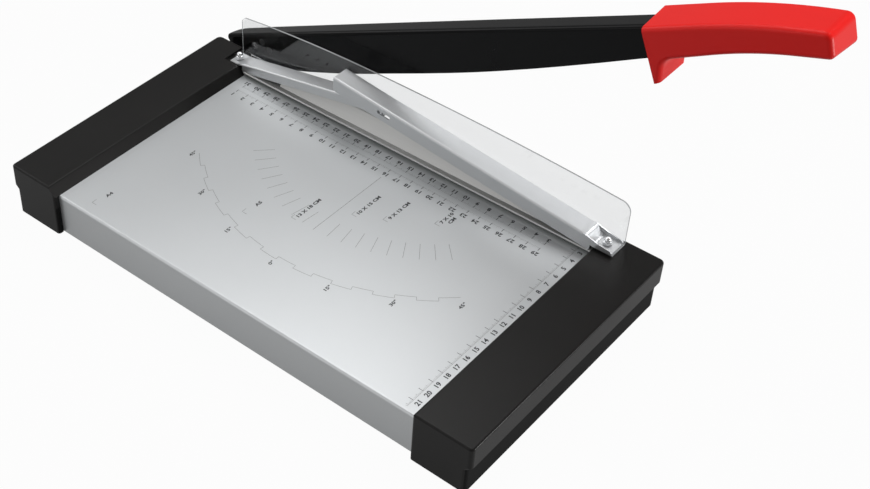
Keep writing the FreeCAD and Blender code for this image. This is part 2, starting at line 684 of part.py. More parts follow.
def clamp_bar():
    """Extrusion with a flat foot, a rear web and a sloping face; only the foot reaches the ends."""
    y0, y1 = CLAMP_FOOT
    foot = box(-CLAMP_HALF, CLAMP_HALF, y0, y1, CLAMP_UNDER, CLAMP_FOOT_TOP)
    foot = rounded(foot, CLAMP_LIP_R, lambda e: runs_along(e, "x") and abs(e.CenterOfMass.y - y0) < 0.01)
    x0, x1 = CLAMP_UPRIGHT
    low, high = CLAMP_FACE
    web = y1 - CLAMP_WEB_T
    hood = prism("x", x0, x1, [(low, CLAMP_FOOT_TOP - 0.5), (high, CLAMP_TOP), (y1, CLAMP_TOP),
                               (y1, CLAMP_FOOT_TOP - 0.5)], [0, 1.0, 0.6, 0])
    lean = (high - low) / (CLAMP_TOP - CLAMP_FOOT_TOP)
    floor = CLAMP_FOOT_TOP
    roof = CLAMP_TOP - 2 * CLAMP_WALL
    inner = [(low + CLAMP_WALL, floor), (low + CLAMP_WALL + lean * (roof - floor), roof), (web, roof), (web, floor)]
    hood = hood.cut(prism("x", x0 - 1, x1 + 1, inner))
    tongues = box(-TONGUE_HALF, TONGUE_HALF, TONGUE[0], TONGUE[1], CLAMP_UNDER, CLAMP_FOOT_TOP)
    bar = fuse([foot, hood, tongues])
    holes = [rod(POST_R + POST_FIT, V(x, POST_Y, TABLE_TOP), CLAMP_FOOT_TOP) for x in POST_XS]
    holes += [rod(CLAMP_PIN_R + PRESS_FIT, V(x, web, CLAMP_PIN_Z), CLAMP_WEB_T + 1, BACK) for x in CLAMP_PIN_XS]
    return bar.cut(holes)


def clamp_pins():
    """Studs pressed into the rear web, one for the slot in each lever's back wall."""
    pins = []
    web = CLAMP_FOOT[1] - CLAMP_WEB_T
    for x, width in zip(CLAMP_PIN_XS, (LEFT_W, RIGHT_W)):
        stop = POST_Y + width / 2 + 0.1
        pins.append(rod(CLAMP_PIN_R, V(x, web, CLAMP_PIN_Z), stop - web, BACK))
    return group(pins)


def channel(width, band, walls):
    """Folded lever: the web's band and the wall outline, both seen from the front, drawn across its width."""
    y0 = POST_Y - width / 2
    y1 = POST_Y + width / 2
    web = prism("y", y0, y1, *band)
    near = prism("y", y0, y0 + LEVER_T, *walls)
    far = prism("y", y1 - LEVER_T, y1, *walls)
    return fuse([web, near, far])


def right_web(x):
    return RIGHT_END_TOP - RIGHT_SLOPE * (x - RIGHT_END)


def left_web(x):
    return LEFT_START_TOP + LEFT_SLOPE * (x - LEFT_RAMP_END)


def play_slot(x, z, length, half, y0, y1):
    """Obround hole through a wall."""
    run = length / 2 - half
    body = box(x - run, x + run, y0, y1, z - half, z + half)
    ends = [rod(half, V(x - run, y0, z), y1 - y0, BACK), rod(half, V(x + run, y0, z), y1 - y0, BACK)]
    return fuse([body] + ends)


def right_lever():
    """Wide lever from the handle end. It reaches over the other one and carries the slot for its pin."""
    step, landing = RIGHT_STEP
    t = LEVER_T
    tab = RIGHT_TAB_Z
    band = [(RIGHT_END, right_web(RIGHT_END)), (step, right_web(step)), (landing, tab + t),
            (RIGHT_TAB_END, tab + t), (RIGHT_TAB_END, tab), (landing - 0.6, tab),
            (step - 0.6, right_web(step) - t), (RIGHT_END, right_web(RIGHT_END) - t)]
    over = tab + 0.3
    walls = [(RIGHT_END, right_web(RIGHT_END)), (step - 2, right_web(step - 2)), (landing + 4, tab + UPSTAND[0]),
             (RIGHT_TAB_END - 1, tab + UPSTAND[1]), (RIGHT_TAB_END, tab + 0.5 * UPSTAND[1]), (RIGHT_TAB_END, over),
             (step + 3.5, over), (step + 3.0, right_web(step) - RIGHT_DEPTH),
             (RIGHT_END, right_web(RIGHT_END) - RIGHT_DEPTH)]
    lever = channel(RIGHT_W, (band, [0, 4, 3, 0, 0, 2, 3, 0]), (walls, [0, 20, 14, 1.2, 0.5, 0, 0, 1.5, 3.0]))
    folds = fold_round(RIGHT_W, (RIGHT_END - 1, right_web(RIGHT_END - 1)), (step - 3, right_web(step - 3)),
                       -RIGHT_SLOPE)
    y0 = POST_Y - RIGHT_W / 2 - 1
    y1 = POST_Y + RIGHT_W / 2 + 1
    slot_z = right_web(SLOT_CENTRE_X) - SLOT_DROP
    slot = play_slot(SLOT_CENTRE_X, slot_z, SLOT_LENGTH, SLOT_HALF, y0, y1)
    slot.rotate(V(SLOT_CENTRE_X, 0, slot_z), BACK, math.degrees(math.atan(RIGHT_SLOPE)))
    pin_hole = play_slot(CLAMP_PIN_XS[1], CLAMP_PIN_Z, CLAMP_PIN_SLOT, CLAMP_PIN_R + CLAMP_PIN_PLAY, POST_Y, y1)
    post_hole = rod(POST_R + POST_HOLE_FIT, V(POST_XS[1], POST_Y, TABLE_TOP), RIGHT_DEPTH + CAP_TOP - TABLE_TOP)
    return lever.cut(folds + [slot, pin_hole, post_hole])


def fold_round(width, start, stop, slope):
    """What comes off the two outer edges of a web so that they are rounded, from one point of its line to another."""
    x0, z0 = start
    length = math.hypot(stop[0] - x0, stop[1] - z0)
    r = LEVER_FOLD
    cutters = []
    for side in (-1, 1):
        edge = POST_Y + side * width / 2
        inner = edge - side * r
        outer = edge + side
        points = [(inner, z0 + 1), (inner, z0), (edge, z0), (edge, z0 - r), (outer, z0 - r), (outer, z0 + 1)]
        bar = prism("x", x0, x0 + length, points, [0, 0, r, 0, 0, 0])
        bar.rotate(V(x0, 0, z0), BACK, -math.degrees(math.atan(slope)))
        cutters.append(bar)
    return cutters


def pin_z():
    return right_web(PIN_X) - SLOT_DROP


def left_lever():
    """Narrow lever from the pivot end, with two ears past its web for the pin."""
    t = LEVER_T
    tab = LEFT_TAB_Z
    start = LEFT_RAMP_END
    a, b = LEFT_TAB
    band = [(a, tab), (a, tab + t), (b, tab + t), (start, left_web(start)), (LEFT_WEB_END, left_web(LEFT_WEB_END)),
            (LEFT_WEB_END, left_web(LEFT_WEB_END) - t), (start + 0.5, left_web(start) - t - 0.2), (b + 0.4, tab)]
    low = CLAMP_FOOT_TOP + 0.4
    wall_start = start - 1.5
    flat = start + (low + LEFT_DEPTH - left_web(start)) / LEFT_SLOPE
    ear = LEFT_WEB_END + LEFT_EAR
    top = left_web(start) - 0.5
    walls = [(wall_start, top - 1.3), (start, top), (LEFT_WEB_END, left_web(LEFT_WEB_END)), (ear - 2, pin_z() + 3.4),
             (ear, pin_z() - 2.6), (ear - 8, pin_z() - 2.8),
             (LEFT_WEB_END - 14, left_web(LEFT_WEB_END - 14) - LEFT_DEPTH), (flat, low), (wall_start, low)]
    lever = channel(LEFT_W, (band, [0, 0, 4, 6, 0, 0, 5, 3]), (walls, [0.6, 6, 0, 2.4, 2.4, 6, 6, 6, 1.0]))
    folds = fold_round(LEFT_W, (start - 4, left_web(start - 4)), (ear, left_web(ear)), LEFT_SLOPE)
    y0 = POST_Y - LEFT_W / 2 - 1
    y1 = POST_Y + LEFT_W / 2 + 1
    cross_hole = rod(PIN_R + PRESS_FIT, V(PIN_X, y0, pin_z()), y1 - y0, BACK)
    pin_hole = play_slot(CLAMP_PIN_XS[0], CLAMP_PIN_Z, CLAMP_PIN_SLOT, CLAMP_PIN_R + CLAMP_PIN_PLAY, POST_Y, y1)
    post_hole = rod(POST_R + POST_HOLE_FIT, V(POST_XS[0], POST_Y, TABLE_TOP), RIGHT_DEPTH + CAP_TOP - TABLE_TOP)
    return lever.cut(folds + [cross_hole, pin_hole, post_hole])


def lever_pin():
    half = RIGHT_W / 2 - 0.2
    pin = rod(PIN_R, V(PIN_X, POST_Y - half, pin_z()), 2 * half, BACK)
    return pin.makeChamfer(0.25, pin.Edges[:1] + pin.Edges[2:3])


# ---- Knife arm ----

def hang(shape):
    """Takes a piece of the arm from its own drawing, pivot at the origin and closed, to its raised place."""
    moved = shape.copy()
    moved.translate(V(PIVOT_X, ARM_NEAR, PIVOT_Z))
    moved.rotate(V(PIVOT_X, 0, PIVOT_Z), BACK, -ARM_RAISED)
    return moved


def arm_section():
    """Web and top flange with the fold between them."""
    wide = ARM_FLANGE_END + 2
    low = -EYE_R - 2
    points = [(0, low), (0, ARM_TOP), (wide, ARM_TOP), (wide, ARM_TOP - ARM_T), (ARM_T, ARM_TOP - ARM_T),
              (ARM_T, low)]
    return prism("x", ARM_TAIL - 5, TANG_END, points, [0, ARM_FOLD, 0, 0, ARM_FOLD - ARM_T, 0])


def arm_plan():
    """Plan of the flange: rounded at the tail, then slowly wider to the handle."""
    z0 = -EYE_R - 5
    place = placer("z", z0)
    middle = ARM_TAIL + ARM_TAIL_RUN
    tail = Part.Ellipse(place(middle, 0), ARM_TAIL_RUN, ARM_FLANGE_TAIL)
    rounding = Part.ArcOfEllipse(tail, math.pi / 2, math.pi)
    flange = Part.Arc(place(TANG_END, ARM_FLANGE_END + 0.4), place(ARM_END / 2, ARM_FLANGE_MID),
                      place(middle, ARM_FLANGE_TAIL))
    near = place(ARM_TAIL, -1)
    far = place(TANG_END, -1)
    edges = [flange.toShape(), rounding.toShape(), Part.makeLine(place(ARM_TAIL, 0), near),
             Part.makeLine(near, far), Part.makeLine(far, place(TANG_END, ARM_FLANGE_END + 0.4))]
    return Part.Face(Part.Wire(edges)).extrude(along("z", ARM_TOP - z0 + 1))


def edge_curve(lift, level):
    place = placer("y", level)
    curve = Part.BSplineCurve()
    run = EDGE_STOP[0] - EDGE_START[0]
    belly = [(EDGE_START[0] + share * run, z) for share, z in EDGE_BELLY]
    curve.interpolate([place(x, z + lift) for x, z in [EDGE_START] + belly + [EDGE_STOP]])
    return curve.toShape()


def arm_side():
    """Side view: tail, round eye at the pivot, bellied cutting edge and the tang."""
    place = placer("y", -1)
    over = ARM_TOP + 1
    eye = [math.radians(a) for a in (180 - math.degrees(math.asin(0.6)), 200, 275)]
    tail_top = place(ARM_TAIL, over)
    tail_low = place(EYE_R * math.cos(eye[0]), EYE_R * math.sin(eye[0]))
    around = Part.Arc(tail_low, place(EYE_R * math.cos(eye[1]), EYE_R * math.sin(eye[1])),
                      place(EYE_R * math.cos(eye[2]), EYE_R * math.sin(eye[2])))
    under = place(EYE_R * math.cos(eye[2]), EYE_R * math.sin(eye[2]))
    start = place(*EDGE_START)
    end_x, end_z = EDGE_STOP
    low, high = TANG_Z
    rest = [place(end_x, end_z), place(ARM_END, end_z), place(ARM_END, low), place(TANG_END, low),
            place(TANG_END, high), place(ARM_END, high), place(ARM_END, over), tail_top]
    edges = [Part.makeLine(tail_top, tail_low), around.toShape(), Part.makeLine(under, start), edge_curve(0, -1)]
    edges += [Part.makeLine(rest[i], rest[i + 1]) for i in range(len(rest) - 1)]
    return Part.Face(Part.Wire(edges)).extrude(along("y", ARM_FLANGE_END + 4))


def edge_bevel():
    """Grinding of the far side: everything under the edge curve, drawn slantwise through the web."""
    level = ARM_T + 0.001
    place = placer("y", level)
    x0, z0 = EDGE_START
    x1, z1 = EDGE_STOP
    deep = -40.0
    corners = [place(x1, z1 + BEVEL_H), place(x1 + 8, z1 + BEVEL_H), place(x1 + 8, deep), place(x0, deep),
               place(x0, z0 + BEVEL_H)]
    edges = [edge_curve(BEVEL_H, level)] + [Part.makeLine(corners[i], corners[i + 1]) for i in range(4)]
    return Part.Face(Part.Wire(edges)).extrude(V(0, BEVEL_LAND - level, -BEVEL_H))


def knife_arm():
    arm = arm_section().common(arm_plan()).common(arm_side())
    holes = [rod(RIVET_R + PRESS_FIT, V(x, -1, z), ARM_T + 2, BACK) for x, z in RIVETS]
    holes += [rod(GRIP_SCREW_R + PRESS_FIT, V(x, -1, sum(TANG_Z) / 2), ARM_T + 2, BACK) for x in grip_screw_xs()]
    holes.append(rod(BUSH_R + PRESS_FIT, V(0, -1, 0), ARM_T + 2, BACK))
    return hang(arm.cut([edge_bevel()] + holes))


def arm_bracket():
    """Plate behind the arm that stiffens the pivot."""
    top = ARM_TOP - ARM_FOLD - RUN_GAP
    points = [(-9.0, top), (BRACKET_END, top), (BRACKET_END, 3.0), (9.5, -9.0), (-12.6, 3.0)]
    plate = prism("y", ARM_T, ARM_T + BRACKET_T, points, [2.0, 3.0, 6.0, 1.0, 1.0])
    plate = fuse([plate, rod(EYE_R, V(0, ARM_T, 0), BRACKET_T, BACK)])
    holes = [rod(RIVET_R + PRESS_FIT, V(x, ARM_T - 1, z), BRACKET_T + 2, BACK) for x, z in RIVETS]
    holes.append(rod(BUSH_R + PRESS_FIT, V(0, ARM_T - 1, 0), BRACKET_T + 2, BACK))
    return hang(plate.cut(holes))


def arm_rivets():
    """Rivets flush with the near face, with a low button at the far side."""
    rivets = []
    for x, z in RIVETS:
        far = ARM_T + BRACKET_T
        shank = rod(RIVET_R, V(x, 0, z), far, BACK)
        button = Part.makeCone(RIVET_HEAD_R, 0.6 * RIVET_HEAD_R, RIVET_HEAD, V(x, far, z), BACK)
        rivets.append(hang(fuse([shank, button])))
    return group(rivets)


def pivot_bush():
    length = BUSH_END - ARM_NEAR
    bush = rod(BUSH_R, V(0, 0, 0), length, BACK)
    return hang(bush.cut(rod(BOLT_R + BUSH_FIT, V(0, -1, 0), length + 2, BACK)))


def grip_outline(level, top, crown, heel, arch):
    """Side view of the grip at one of its two side faces."""
    corners = [(0, top), crown, GRIP_END, heel, arch, GUARD_ROOT, GUARD_TIP, (0, GUARD_TIP[1])]
    points = [(ARM_END + run, z) for run, z in corners]
    radii = [0, curve_radius(points, 1, GRIP_CROWN_SHARE), GRIP_END_R, GRIP_HEEL_R,
             curve_radius(points, 4, GRIP_ARCH_SHARE), GUARD_ROOT_R, 0, 0]
    return outline(points, radii, placer("y", level))


def handle():
    """Moulded grip with a finger guard across its front and an arched underside."""
    y0, y1 = GRIP_Y
    tip = GUARD_TIP[1]
    near = grip_outline(y0, GRIP_TOP, GRIP_CROWN, GRIP_HEEL, GRIP_ARCH)
    far = grip_outline(y1, GRIP_BACK_TOP, GRIP_BACK_CROWN, GRIP_BACK_HEEL, GRIP_BACK_ARCH)
    grip = Part.makeLoft([near, far], True, True)
    grip = rounded(grip, GRIP_ROUND, lambda e: side_edge(e) and e.CenterOfMass.z > tip + 0.5
                   and e.CenterOfMass.x > ARM_END + 0.5)
    low, high = TANG_Z
    fit = PRESS_FIT
    cuts = [box(ARM_END - 1, TANG_END + fit, -fit, ARM_T + fit, low - fit, high + fit)]
    for x in grip_screw_xs():
        z = (low + high) / 2
        cuts.append(rod(GRIP_SCREW_HEAD_R + 0.3, V(x, y1 - GRIP_SCREW_DEPTH, z), GRIP_SCREW_DEPTH + 1, BACK))
        cuts.append(rod(GRIP_SCREW_R + PRESS_FIT, V(x, -GRIP_SCREW_TIP - fit, z), y1, BACK))
    return hang(grip.cut(cuts))


def grip_screw_xs():
    return [ARM_END + run for run in GRIP_SCREWS]


def side_edge(edge):
    """Edges of the grip's two side faces."""
    y0, y1 = GRIP_Y
    ends = [v.Point.y for v in edge.Vertexes]
    return all(abs(y - y0) < 1e-6 for y in ends) or all(abs(y - y1) < 1e-6 for y in ends)


def handle_screws():
    """Pan head screws from the far side, through the grip and the tang."""
    screws = []
    y_out = GRIP_Y[1]
    seat = y_out - GRIP_SCREW_DEPTH
    for x in grip_screw_xs():
        z = sum(TANG_Z) / 2
        head = Part.makeCone(GRIP_SCREW_HEAD_R, 0.75 * GRIP_SCREW_HEAD_R, GRIP_SCREW_HEAD, V(x, seat, z), BACK)
        screw = fuse([head, rod(GRIP_SCREW_R, V(x, -GRIP_SCREW_TIP, z), seat + GRIP_SCREW_TIP, BACK)])
        cross = [box(x - 2.2, x + 2.2, seat + 1.2, y_out, z - 0.5, z + 0.5),
                 box(x - 0.5, x + 0.5, seat + 1.2, y_out, z - 2.2, z + 2.2)]
        screws.append(hang(screw.cut(cross)))
    return group(screws)


# ---- Pivot bolt and its stack ----

def pivot_bolt():
    head = WASHER_START + WASHER_T + SPRING_WASHER_T
    shank = pivot_rod(BOLT_R, CAP_BACK - NUT_T - 1.5, head)
    cap = hexagon(BOLT_FLATS, V(PIVOT_X, head, PIVOT_Z), BOLT_HEAD_T, BACK)
    wide = 0.72 * BOLT_FLATS
    cap = cap.common(Part.makeCone(wide, wide - BOLT_HEAD_T + 0.9, BOLT_HEAD_T, V(PIVOT_X, head, PIVOT_Z), BACK))
    return fuse([shank, cap])


def pivot_washer():
    ring = pivot_rod(WASHER_R, WASHER_START, WASHER_START + WASHER_T)
    return ring.cut(pivot_rod(BOLT_R + PRESS_FIT, WASHER_START - 1, WASHER_START + WASHER_T + 1))


def spring_washer():
    """Split ring."""
    start = WASHER_START + WASHER_T
    ring = pivot_rod(SPRING_WASHER_R, start, start + SPRING_WASHER_T)
    ring = ring.cut(pivot_rod(BOLT_R + PRESS_FIT, start - 1, start + SPRING_WASHER_T + 1))
    split = box(PIVOT_X - 0.6, PIVOT_X + 0.6, start - 1, start + SPRING_WASHER_T + 1, PIVOT_Z, PIVOT_Z + WASHER_R)
    split.rotate(V(PIVOT_X, start, PIVOT_Z), UP, 18)
    return ring.cut(split)


def lock_nut():
    """Nut with a round collar, inside the cap on the front of the rail."""
    base = V(PIVOT_X, CAP_BACK - NUT_T, PIVOT_Z)
    body = hexagon(BOLT_FLATS, base + BACK * NUT_COLLAR, NUT_T - NUT_COLLAR, BACK)
    collar = Part.makeCone(0.4 * BOLT_FLATS, 0.48 * BOLT_FLATS, NUT_COLLAR, base, BACK)
    return fuse([body, collar]).cut(pivot_rod(BOLT_R + PRESS_FIT, base.y - 1, CAP_BACK + 1))


NODES = {
    "table_plate": table_plate,
    "cross_stiffeners": cross_stiffeners,
    "rear_rail": rear_rail,
    "counter_knife": counter_knife,
    "knife_screws": knife_screws,
    "pivot_end_cap": lambda: end_cap(POST_XS[0], True),
    "handle_end_cap": lambda: end_cap(-POST_XS[1], False).mirror(V(0, 0, 0), V(1, 0, 0)),
    "cap_screws": cap_screws,
    "rubber_feet": rubber_feet,
    "foot_screws": foot_screws,
    "post_brackets": post_brackets,
    "clamp_posts": clamp_posts,
    "post_nuts": post_nuts,
    "post_washers": post_washers,
    "dome_nuts": dome_nuts,
    "clamp_springs": clamp_springs,
    "finger_guard": finger_guard,
    "clamp_bar": clamp_bar,
    "clamp_pins": clamp_pins,
    "left_lever": left_lever,
    "lever_pin": lever_pin,
    "right_lever": right_lever,
    "knife_arm": knife_arm,
    "arm_bracket": arm_bracket,
    "arm_rivets": arm_rivets,
    "pivot_bush": pivot_bush,
    "handle": handle,
    "handle_screws": handle_screws,
    "pivot_bolt": pivot_bolt,
    "pivot_washer": pivot_washer,
    "spring_washer": spring_washer,
    "lock_nut": lock_nut,
}

os.makedirs("parts", exist_ok=True)
for node, make in NODES.items():
    shape = make()
    shape.translate(ORIGIN_SHIFT)
    shape.exportStep("parts/" + node + ".step")
    print(node, len(shape.Solids), "solids, valid", shape.isValid(), "volume", round(shape.Volume))
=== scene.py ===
# %% [markdown]
# # A lever paper cutter, dressed for the studio
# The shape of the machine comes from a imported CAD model: a folded sheet metal table between two
# moulded end caps, a knife arm on a pivot bolt, a paper clamp worked by two long levers, and a
# clear finger guard. Blender adds what a solid can't hold: the printed scales, springs of round
# wire, the finishes of paint, steel and plastic, and the light.

# %% Load the frame
import bpy
import mathutils
import numpy as np
import math
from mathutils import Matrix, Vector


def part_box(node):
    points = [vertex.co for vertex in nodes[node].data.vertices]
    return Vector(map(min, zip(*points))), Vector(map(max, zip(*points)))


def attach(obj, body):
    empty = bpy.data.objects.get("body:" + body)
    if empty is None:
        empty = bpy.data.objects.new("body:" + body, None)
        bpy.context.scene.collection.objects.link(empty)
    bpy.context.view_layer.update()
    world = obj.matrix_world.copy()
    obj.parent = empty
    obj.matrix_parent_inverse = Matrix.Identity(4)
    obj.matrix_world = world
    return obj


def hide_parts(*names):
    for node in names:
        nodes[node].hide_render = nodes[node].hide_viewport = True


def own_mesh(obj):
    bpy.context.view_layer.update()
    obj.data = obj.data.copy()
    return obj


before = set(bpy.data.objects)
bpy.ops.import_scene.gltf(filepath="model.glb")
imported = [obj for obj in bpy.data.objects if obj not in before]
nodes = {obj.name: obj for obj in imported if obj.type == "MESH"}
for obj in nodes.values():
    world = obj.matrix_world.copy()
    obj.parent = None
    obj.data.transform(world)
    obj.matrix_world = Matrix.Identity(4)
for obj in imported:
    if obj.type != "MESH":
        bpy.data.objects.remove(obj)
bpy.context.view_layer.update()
MM = 0.001
X, Y, Z = 0, 1, 2
WHITE = (1.0, 1.0, 1.0)

# %% [markdown]
# ## Shader maths as Python
# A finish is a small graph of nodes. It could be clicked together by hand, but as a sum it is
# shorter and can be read. `Value` wraps one socket and overloads the operators, so `1 - mask * 0.3`
# adds the Math nodes by itself. Every other node comes from one method, `Graph.node`.

# %% The socket class and the graph class
class Value:
    """One output of a shader graph; arithmetic on it adds Math nodes."""

    def __init__(self, graph, socket):
        self.graph = graph
        self.socket = socket

    def _math(self, operation, *operands):
        return self.graph.node("ShaderNodeMath", {"operation": operation},
                               dict(enumerate(operands)))

    def __add__(self, other):
        return self._math("ADD", self, other)

    def __sub__(self, other):
        return self._math("SUBTRACT", self, other)

    def __rsub__(self, other):
        return self._math("SUBTRACT", other, self)

    def __mul__(self, other):
        return self._math("MULTIPLY", self, other)

    __radd__ = __add__
    __rmul__ = __mul__

    def clipped(self):
        """Never under 0 and never over 1."""
        return self._math("MINIMUM", self._math("MAXIMUM", self, 0.0), 1.0)

    def past(self, edge, sharpness):
        """Mask: 0 up to the edge, then rising to 1 over 1 / sharpness."""
        return ((self - edge) * sharpness).clipped()

    def before(self, edge, sharpness):
        """Mask: 0 from the edge on, and 1 when 1 / sharpness or more below it."""
        return ((edge - self) * sharpness).clipped()


class Graph:
    """The nodes of a material or of the world."""

    def __init__(self, tree):
        self.tree = tree

    def feed(self, socket, value):
        """Links a Value to a socket, or sets a plain number, vector or colour."""
        if isinstance(value, Value):
            self.tree.links.new(value.socket, socket)
        else:
            socket.default_value = (*value, 1.0) if socket.type == "RGBA" else value

    def node(self, kind, settings=None, sockets=None, out=0):
        """Adds a node, makes its settings first, then feeds its sockets, and gives one output."""
        made = self.tree.nodes.new(kind)
        for key, value in (settings or {}).items():
            setattr(made, key, value)
        for key, value in (sockets or {}).items():
            self.feed(made.inputs[key], value)
        return Value(self, made.outputs[out])

    def mixed(self, first, second, share):
        """Shader that goes from the first to the second as share goes from 0 to 1."""
        return self.node("ShaderNodeMixShader", sockets={0: share, 1: first, 2: second})

    def ray(self, kind):
        """1 for rays of one kind, such as Camera or Glossy, and 0 for the others."""
        return self.node("ShaderNodeLightPath", out=f"Is {kind} Ray")


print("shader sums:", ", ".join(kind.__name__ for kind in (Value, Graph)))

# %% [markdown]
# ## What a finish is made of
# Each finish starts from Blender's Principled shader. Its fixed numbers are set by name, and what
# changes over the surface is linked. The patterns are noise in Object coordinates, which are metres
# here, so a grain keeps its real size on every piece and stays in place when the piece moves.

# %% The finish class
class Finish(Graph):
    """A material with its Principled shader."""

    def __init__(self, name, **fixed):
        self.material = bpy.data.materials.new(name)
        self.material.use_nodes = True
        super().__init__(self.material.node_tree)
        self.shader = self.tree.nodes["Principled BSDF"]
        self.principled = Value(self, self.shader.outputs[0])
        self.set(**fixed)

    def set(self, **sockets):
        """Feeds the shader's sockets; an underscore in a name stands for a space."""
        for name, value in sockets.items():
            self.feed(self.shader.inputs[name.replace("_", " ")], value)

    def show(self, surface):
        """Puts another shader than the Principled one alone on the surface."""
        self.feed(self.tree.nodes["Material Output"].inputs["Surface"], surface)

    def place(self, scale=(1.0, 1.0, 1.0)):
        """Object coordinates in metres, stretched by the scale."""
        here = self.node("ShaderNodeTexCoord", out="Object")
        return self.node("ShaderNodeMapping", sockets={"Vector": here, "Scale": scale})

    def noise(self, scale, detail=2.0, stretch=(1.0, 1.0, 1.0)):
        """Soft random field, 0 to 1, with about `scale` lumps in a metre."""
        return self.node("ShaderNodeTexNoise", sockets={
            "Vector": self.place(stretch), "Scale": scale, "Detail": detail, "Roughness": 0.5})

    def between(self, low, high, share):
        """Colour that goes from low to high as share goes from 0 to 1."""
        return self.node("ShaderNodeMix", {"data_type": "RGBA"}, {0: share, 6: low, 7: high},
                         out=2)

    def around(self, middle, *fields):
        """Number that swings about a middle; each (field, swing) moves it by half the swing."""
        for field, swing in fields:
            middle = middle + (field - 0.5) * swing
        return middle

    def relief(self, height, depth):
        """Bumps of the given depth in metres."""
        self.set(Normal=self.node("ShaderNodeBump", sockets={
            "Height": height, "Distance": depth, "Strength": 1.0}))

    def part(self, vector, axis):
        """One coordinate of a vector."""
        return self.node("ShaderNodeSeparateXYZ", sockets={0: vector}, out=axis)

    def facing(self, axis):
        """How far the surface looks along the object's own axis, -1 to 1."""
        return self.part(self.node("ShaderNodeTexCoord", out="Normal"), axis)


def dress(finish, *names):
    """Gives a finish to CAD nodes."""
    for name in names:
        slots = nodes[name].material_slots
        if not slots:
            nodes[name].data.materials.append(finish.material)
        for slot in slots:
            slot.material = finish.material
    print(finish.material.name, "on", ", ".join(names))


print("CAD nodes to dress:", len(nodes))

# %% [markdown]
# ## Camera
# The camera stands in front of the handle end and looks down on the table at about 42 degrees. A
# camera can be placed by eye, but the printed centimetres are real measures on the object, so its
# place, turn, lens and shift were solved from them.

# %% The camera
CAMERA_AT = (0.46613, -0.62152, 0.71707)
CAMERA_TURN = (math.radians(48.101), 0.0, math.radians(40.826))
LENS_MM = 61.63
FILM_MM = 36.0
SHIFT = (0.1491, -0.0005)
NEAREST, FURTHEST = 0.01, 20.0

camera = bpy.data.objects.new("camera", bpy.data.cameras.new("camera"))
bpy.context.scene.collection.objects.link(camera)
camera.location = CAMERA_AT
camera.rotation_euler = CAMERA_TURN
camera.data.lens = LENS_MM
camera.data.sensor_width = FILM_MM
camera.data.shift_x, camera.data.shift_y = SHIFT
camera.data.clip_start, camera.data.clip_end = NEAREST, FURTHEST
bpy.context.scene.camera = camera
print("camera at", CAMERA_AT, "lens", LENS_MM, "mm")

# %% [markdown]
# ## Silver table
# The table is sheet metal under a satin silver lacquer: fine metal flakes in a grey binder. Plain
# grey would look like card and bare metal like a mirror, so it is two thirds metallic with a broad
# gloss. The flakes give a very fine sparkle that only shows close up.

# %% Table lacquer
LACQUER_TONES = (0.575, 0.592, 0.602), (0.655, 0.672, 0.682)
FLAKES, CLOUDS = 3200.0, 9.0        # lumps in a metre
FLAKE_SHARE = 0.6                   # of the change in tone, the clouds make the rest
FLAKE_DEPTH = 0.012 * MM

lacquer = Finish("silver_lacquer", Metallic=0.68, IOR=1.45)
flakes = lacquer.noise(FLAKES, detail=1.0)
cloud = lacquer.noise(CLOUDS, detail=3.0)
mottle = (flakes * FLAKE_SHARE + cloud * (1.0 - FLAKE_SHARE)).clipped()
lacquer.set(Base_Color=lacquer.between(*LACQUER_TONES, mottle),
            Roughness=lacquer.around(0.35, (flakes, 0.10), (cloud, 0.06)))
lacquer.relief(flakes, FLAKE_DEPTH)
dress(lacquer, "table_plate")

# %% [markdown]
# ## Black mouldings
# The end caps are glass filled plastic with a fine spark eroded grain. Such grain is a bump far
# smaller than a millimetre, so it is relief in the shader and not in the mesh, and where hands and
# paper rub it, it turns a little glossier. On the side that looks along +X, the skirt that is set
# in
# below the outer lip gets painted shade: a mask made from the surface's own direction and height
# darkens its colour nearly to black, and also makes it duller.

# %% End caps
LIP = 17.5 * MM                     # height of the outer lip of the caps
SKIRT_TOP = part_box("handle_end_cap")[1].z - LIP
SHELL_TONES = (0.0068, 0.0065, 0.0062), (0.0092, 0.0087, 0.0082)
# colour of the painted shade on the set-in skirt, darker than the shell
SKIRT_SHADE_TONE = (0.0022, 0.0022, 0.0022)
GRAIN, RUBS = 2600.0, 14.0
GRAIN_DEPTH = 0.020 * MM

moulding = Finish("black_moulding", Specular_IOR_Level=0.22)
grain = moulding.noise(GRAIN, detail=2.0)
rubbed = moulding.noise(RUBS, detail=3.0)
height = moulding.part(moulding.place(), Z)
# painted shade: the mask picks the set-in skirt on the +X side, below the lip, to darken it
skirt_shade = moulding.facing(X).past(0.5, 8.0) * height.before(SKIRT_TOP, 4000.0)
shell = moulding.between(*SHELL_TONES, rubbed)
moulding.set(Base_Color=moulding.between(shell, SKIRT_SHADE_TONE, skirt_shade),
             Roughness=moulding.around(0.33, (rubbed, 0.12)) + skirt_shade * 0.45)
moulding.relief(grain, GRAIN_DEPTH)
dress(moulding, "pivot_end_cap", "handle_end_cap")

# %% [markdown]
# ## Rubber feet
# The feet are dull, dark grey rubber with a slightly crumbly skin. Tone, gloss and relief could
# each have a noise of their own, but on real rubber the same crumbs cause all three, so one coarse
# noise drives them together.

# %% Foot rubber
RUBBER_TONES = (0.028, 0.028, 0.029), (0.050, 0.049, 0.048)
CRUMBS = 900.0
CRUMB_DEPTH = 0.06 * MM

rubber = Finish("foot_rubber", Specular_IOR_Level=0.3)
crumbs = rubber.noise(CRUMBS, detail=3.0)
rubber.set(Base_Color=rubber.between(*RUBBER_TONES, crumbs),
           Roughness=rubber.around(0.78, (crumbs, 0.2)))
rubber.relief(crumbs, CRUMB_DEPTH)
dress(rubber, "rubber_feet")

# %% [markdown]
# ## Gloss black arm
# The arm is thick steel under gloss enamel, which settles with a faint orange peel. Its ground edge
# is bare metal. That edge could be a piece of its own, but the bevel faces away from the table and
# down, as nothing else on the arm does, so the direction of the surface tells paint from steel.

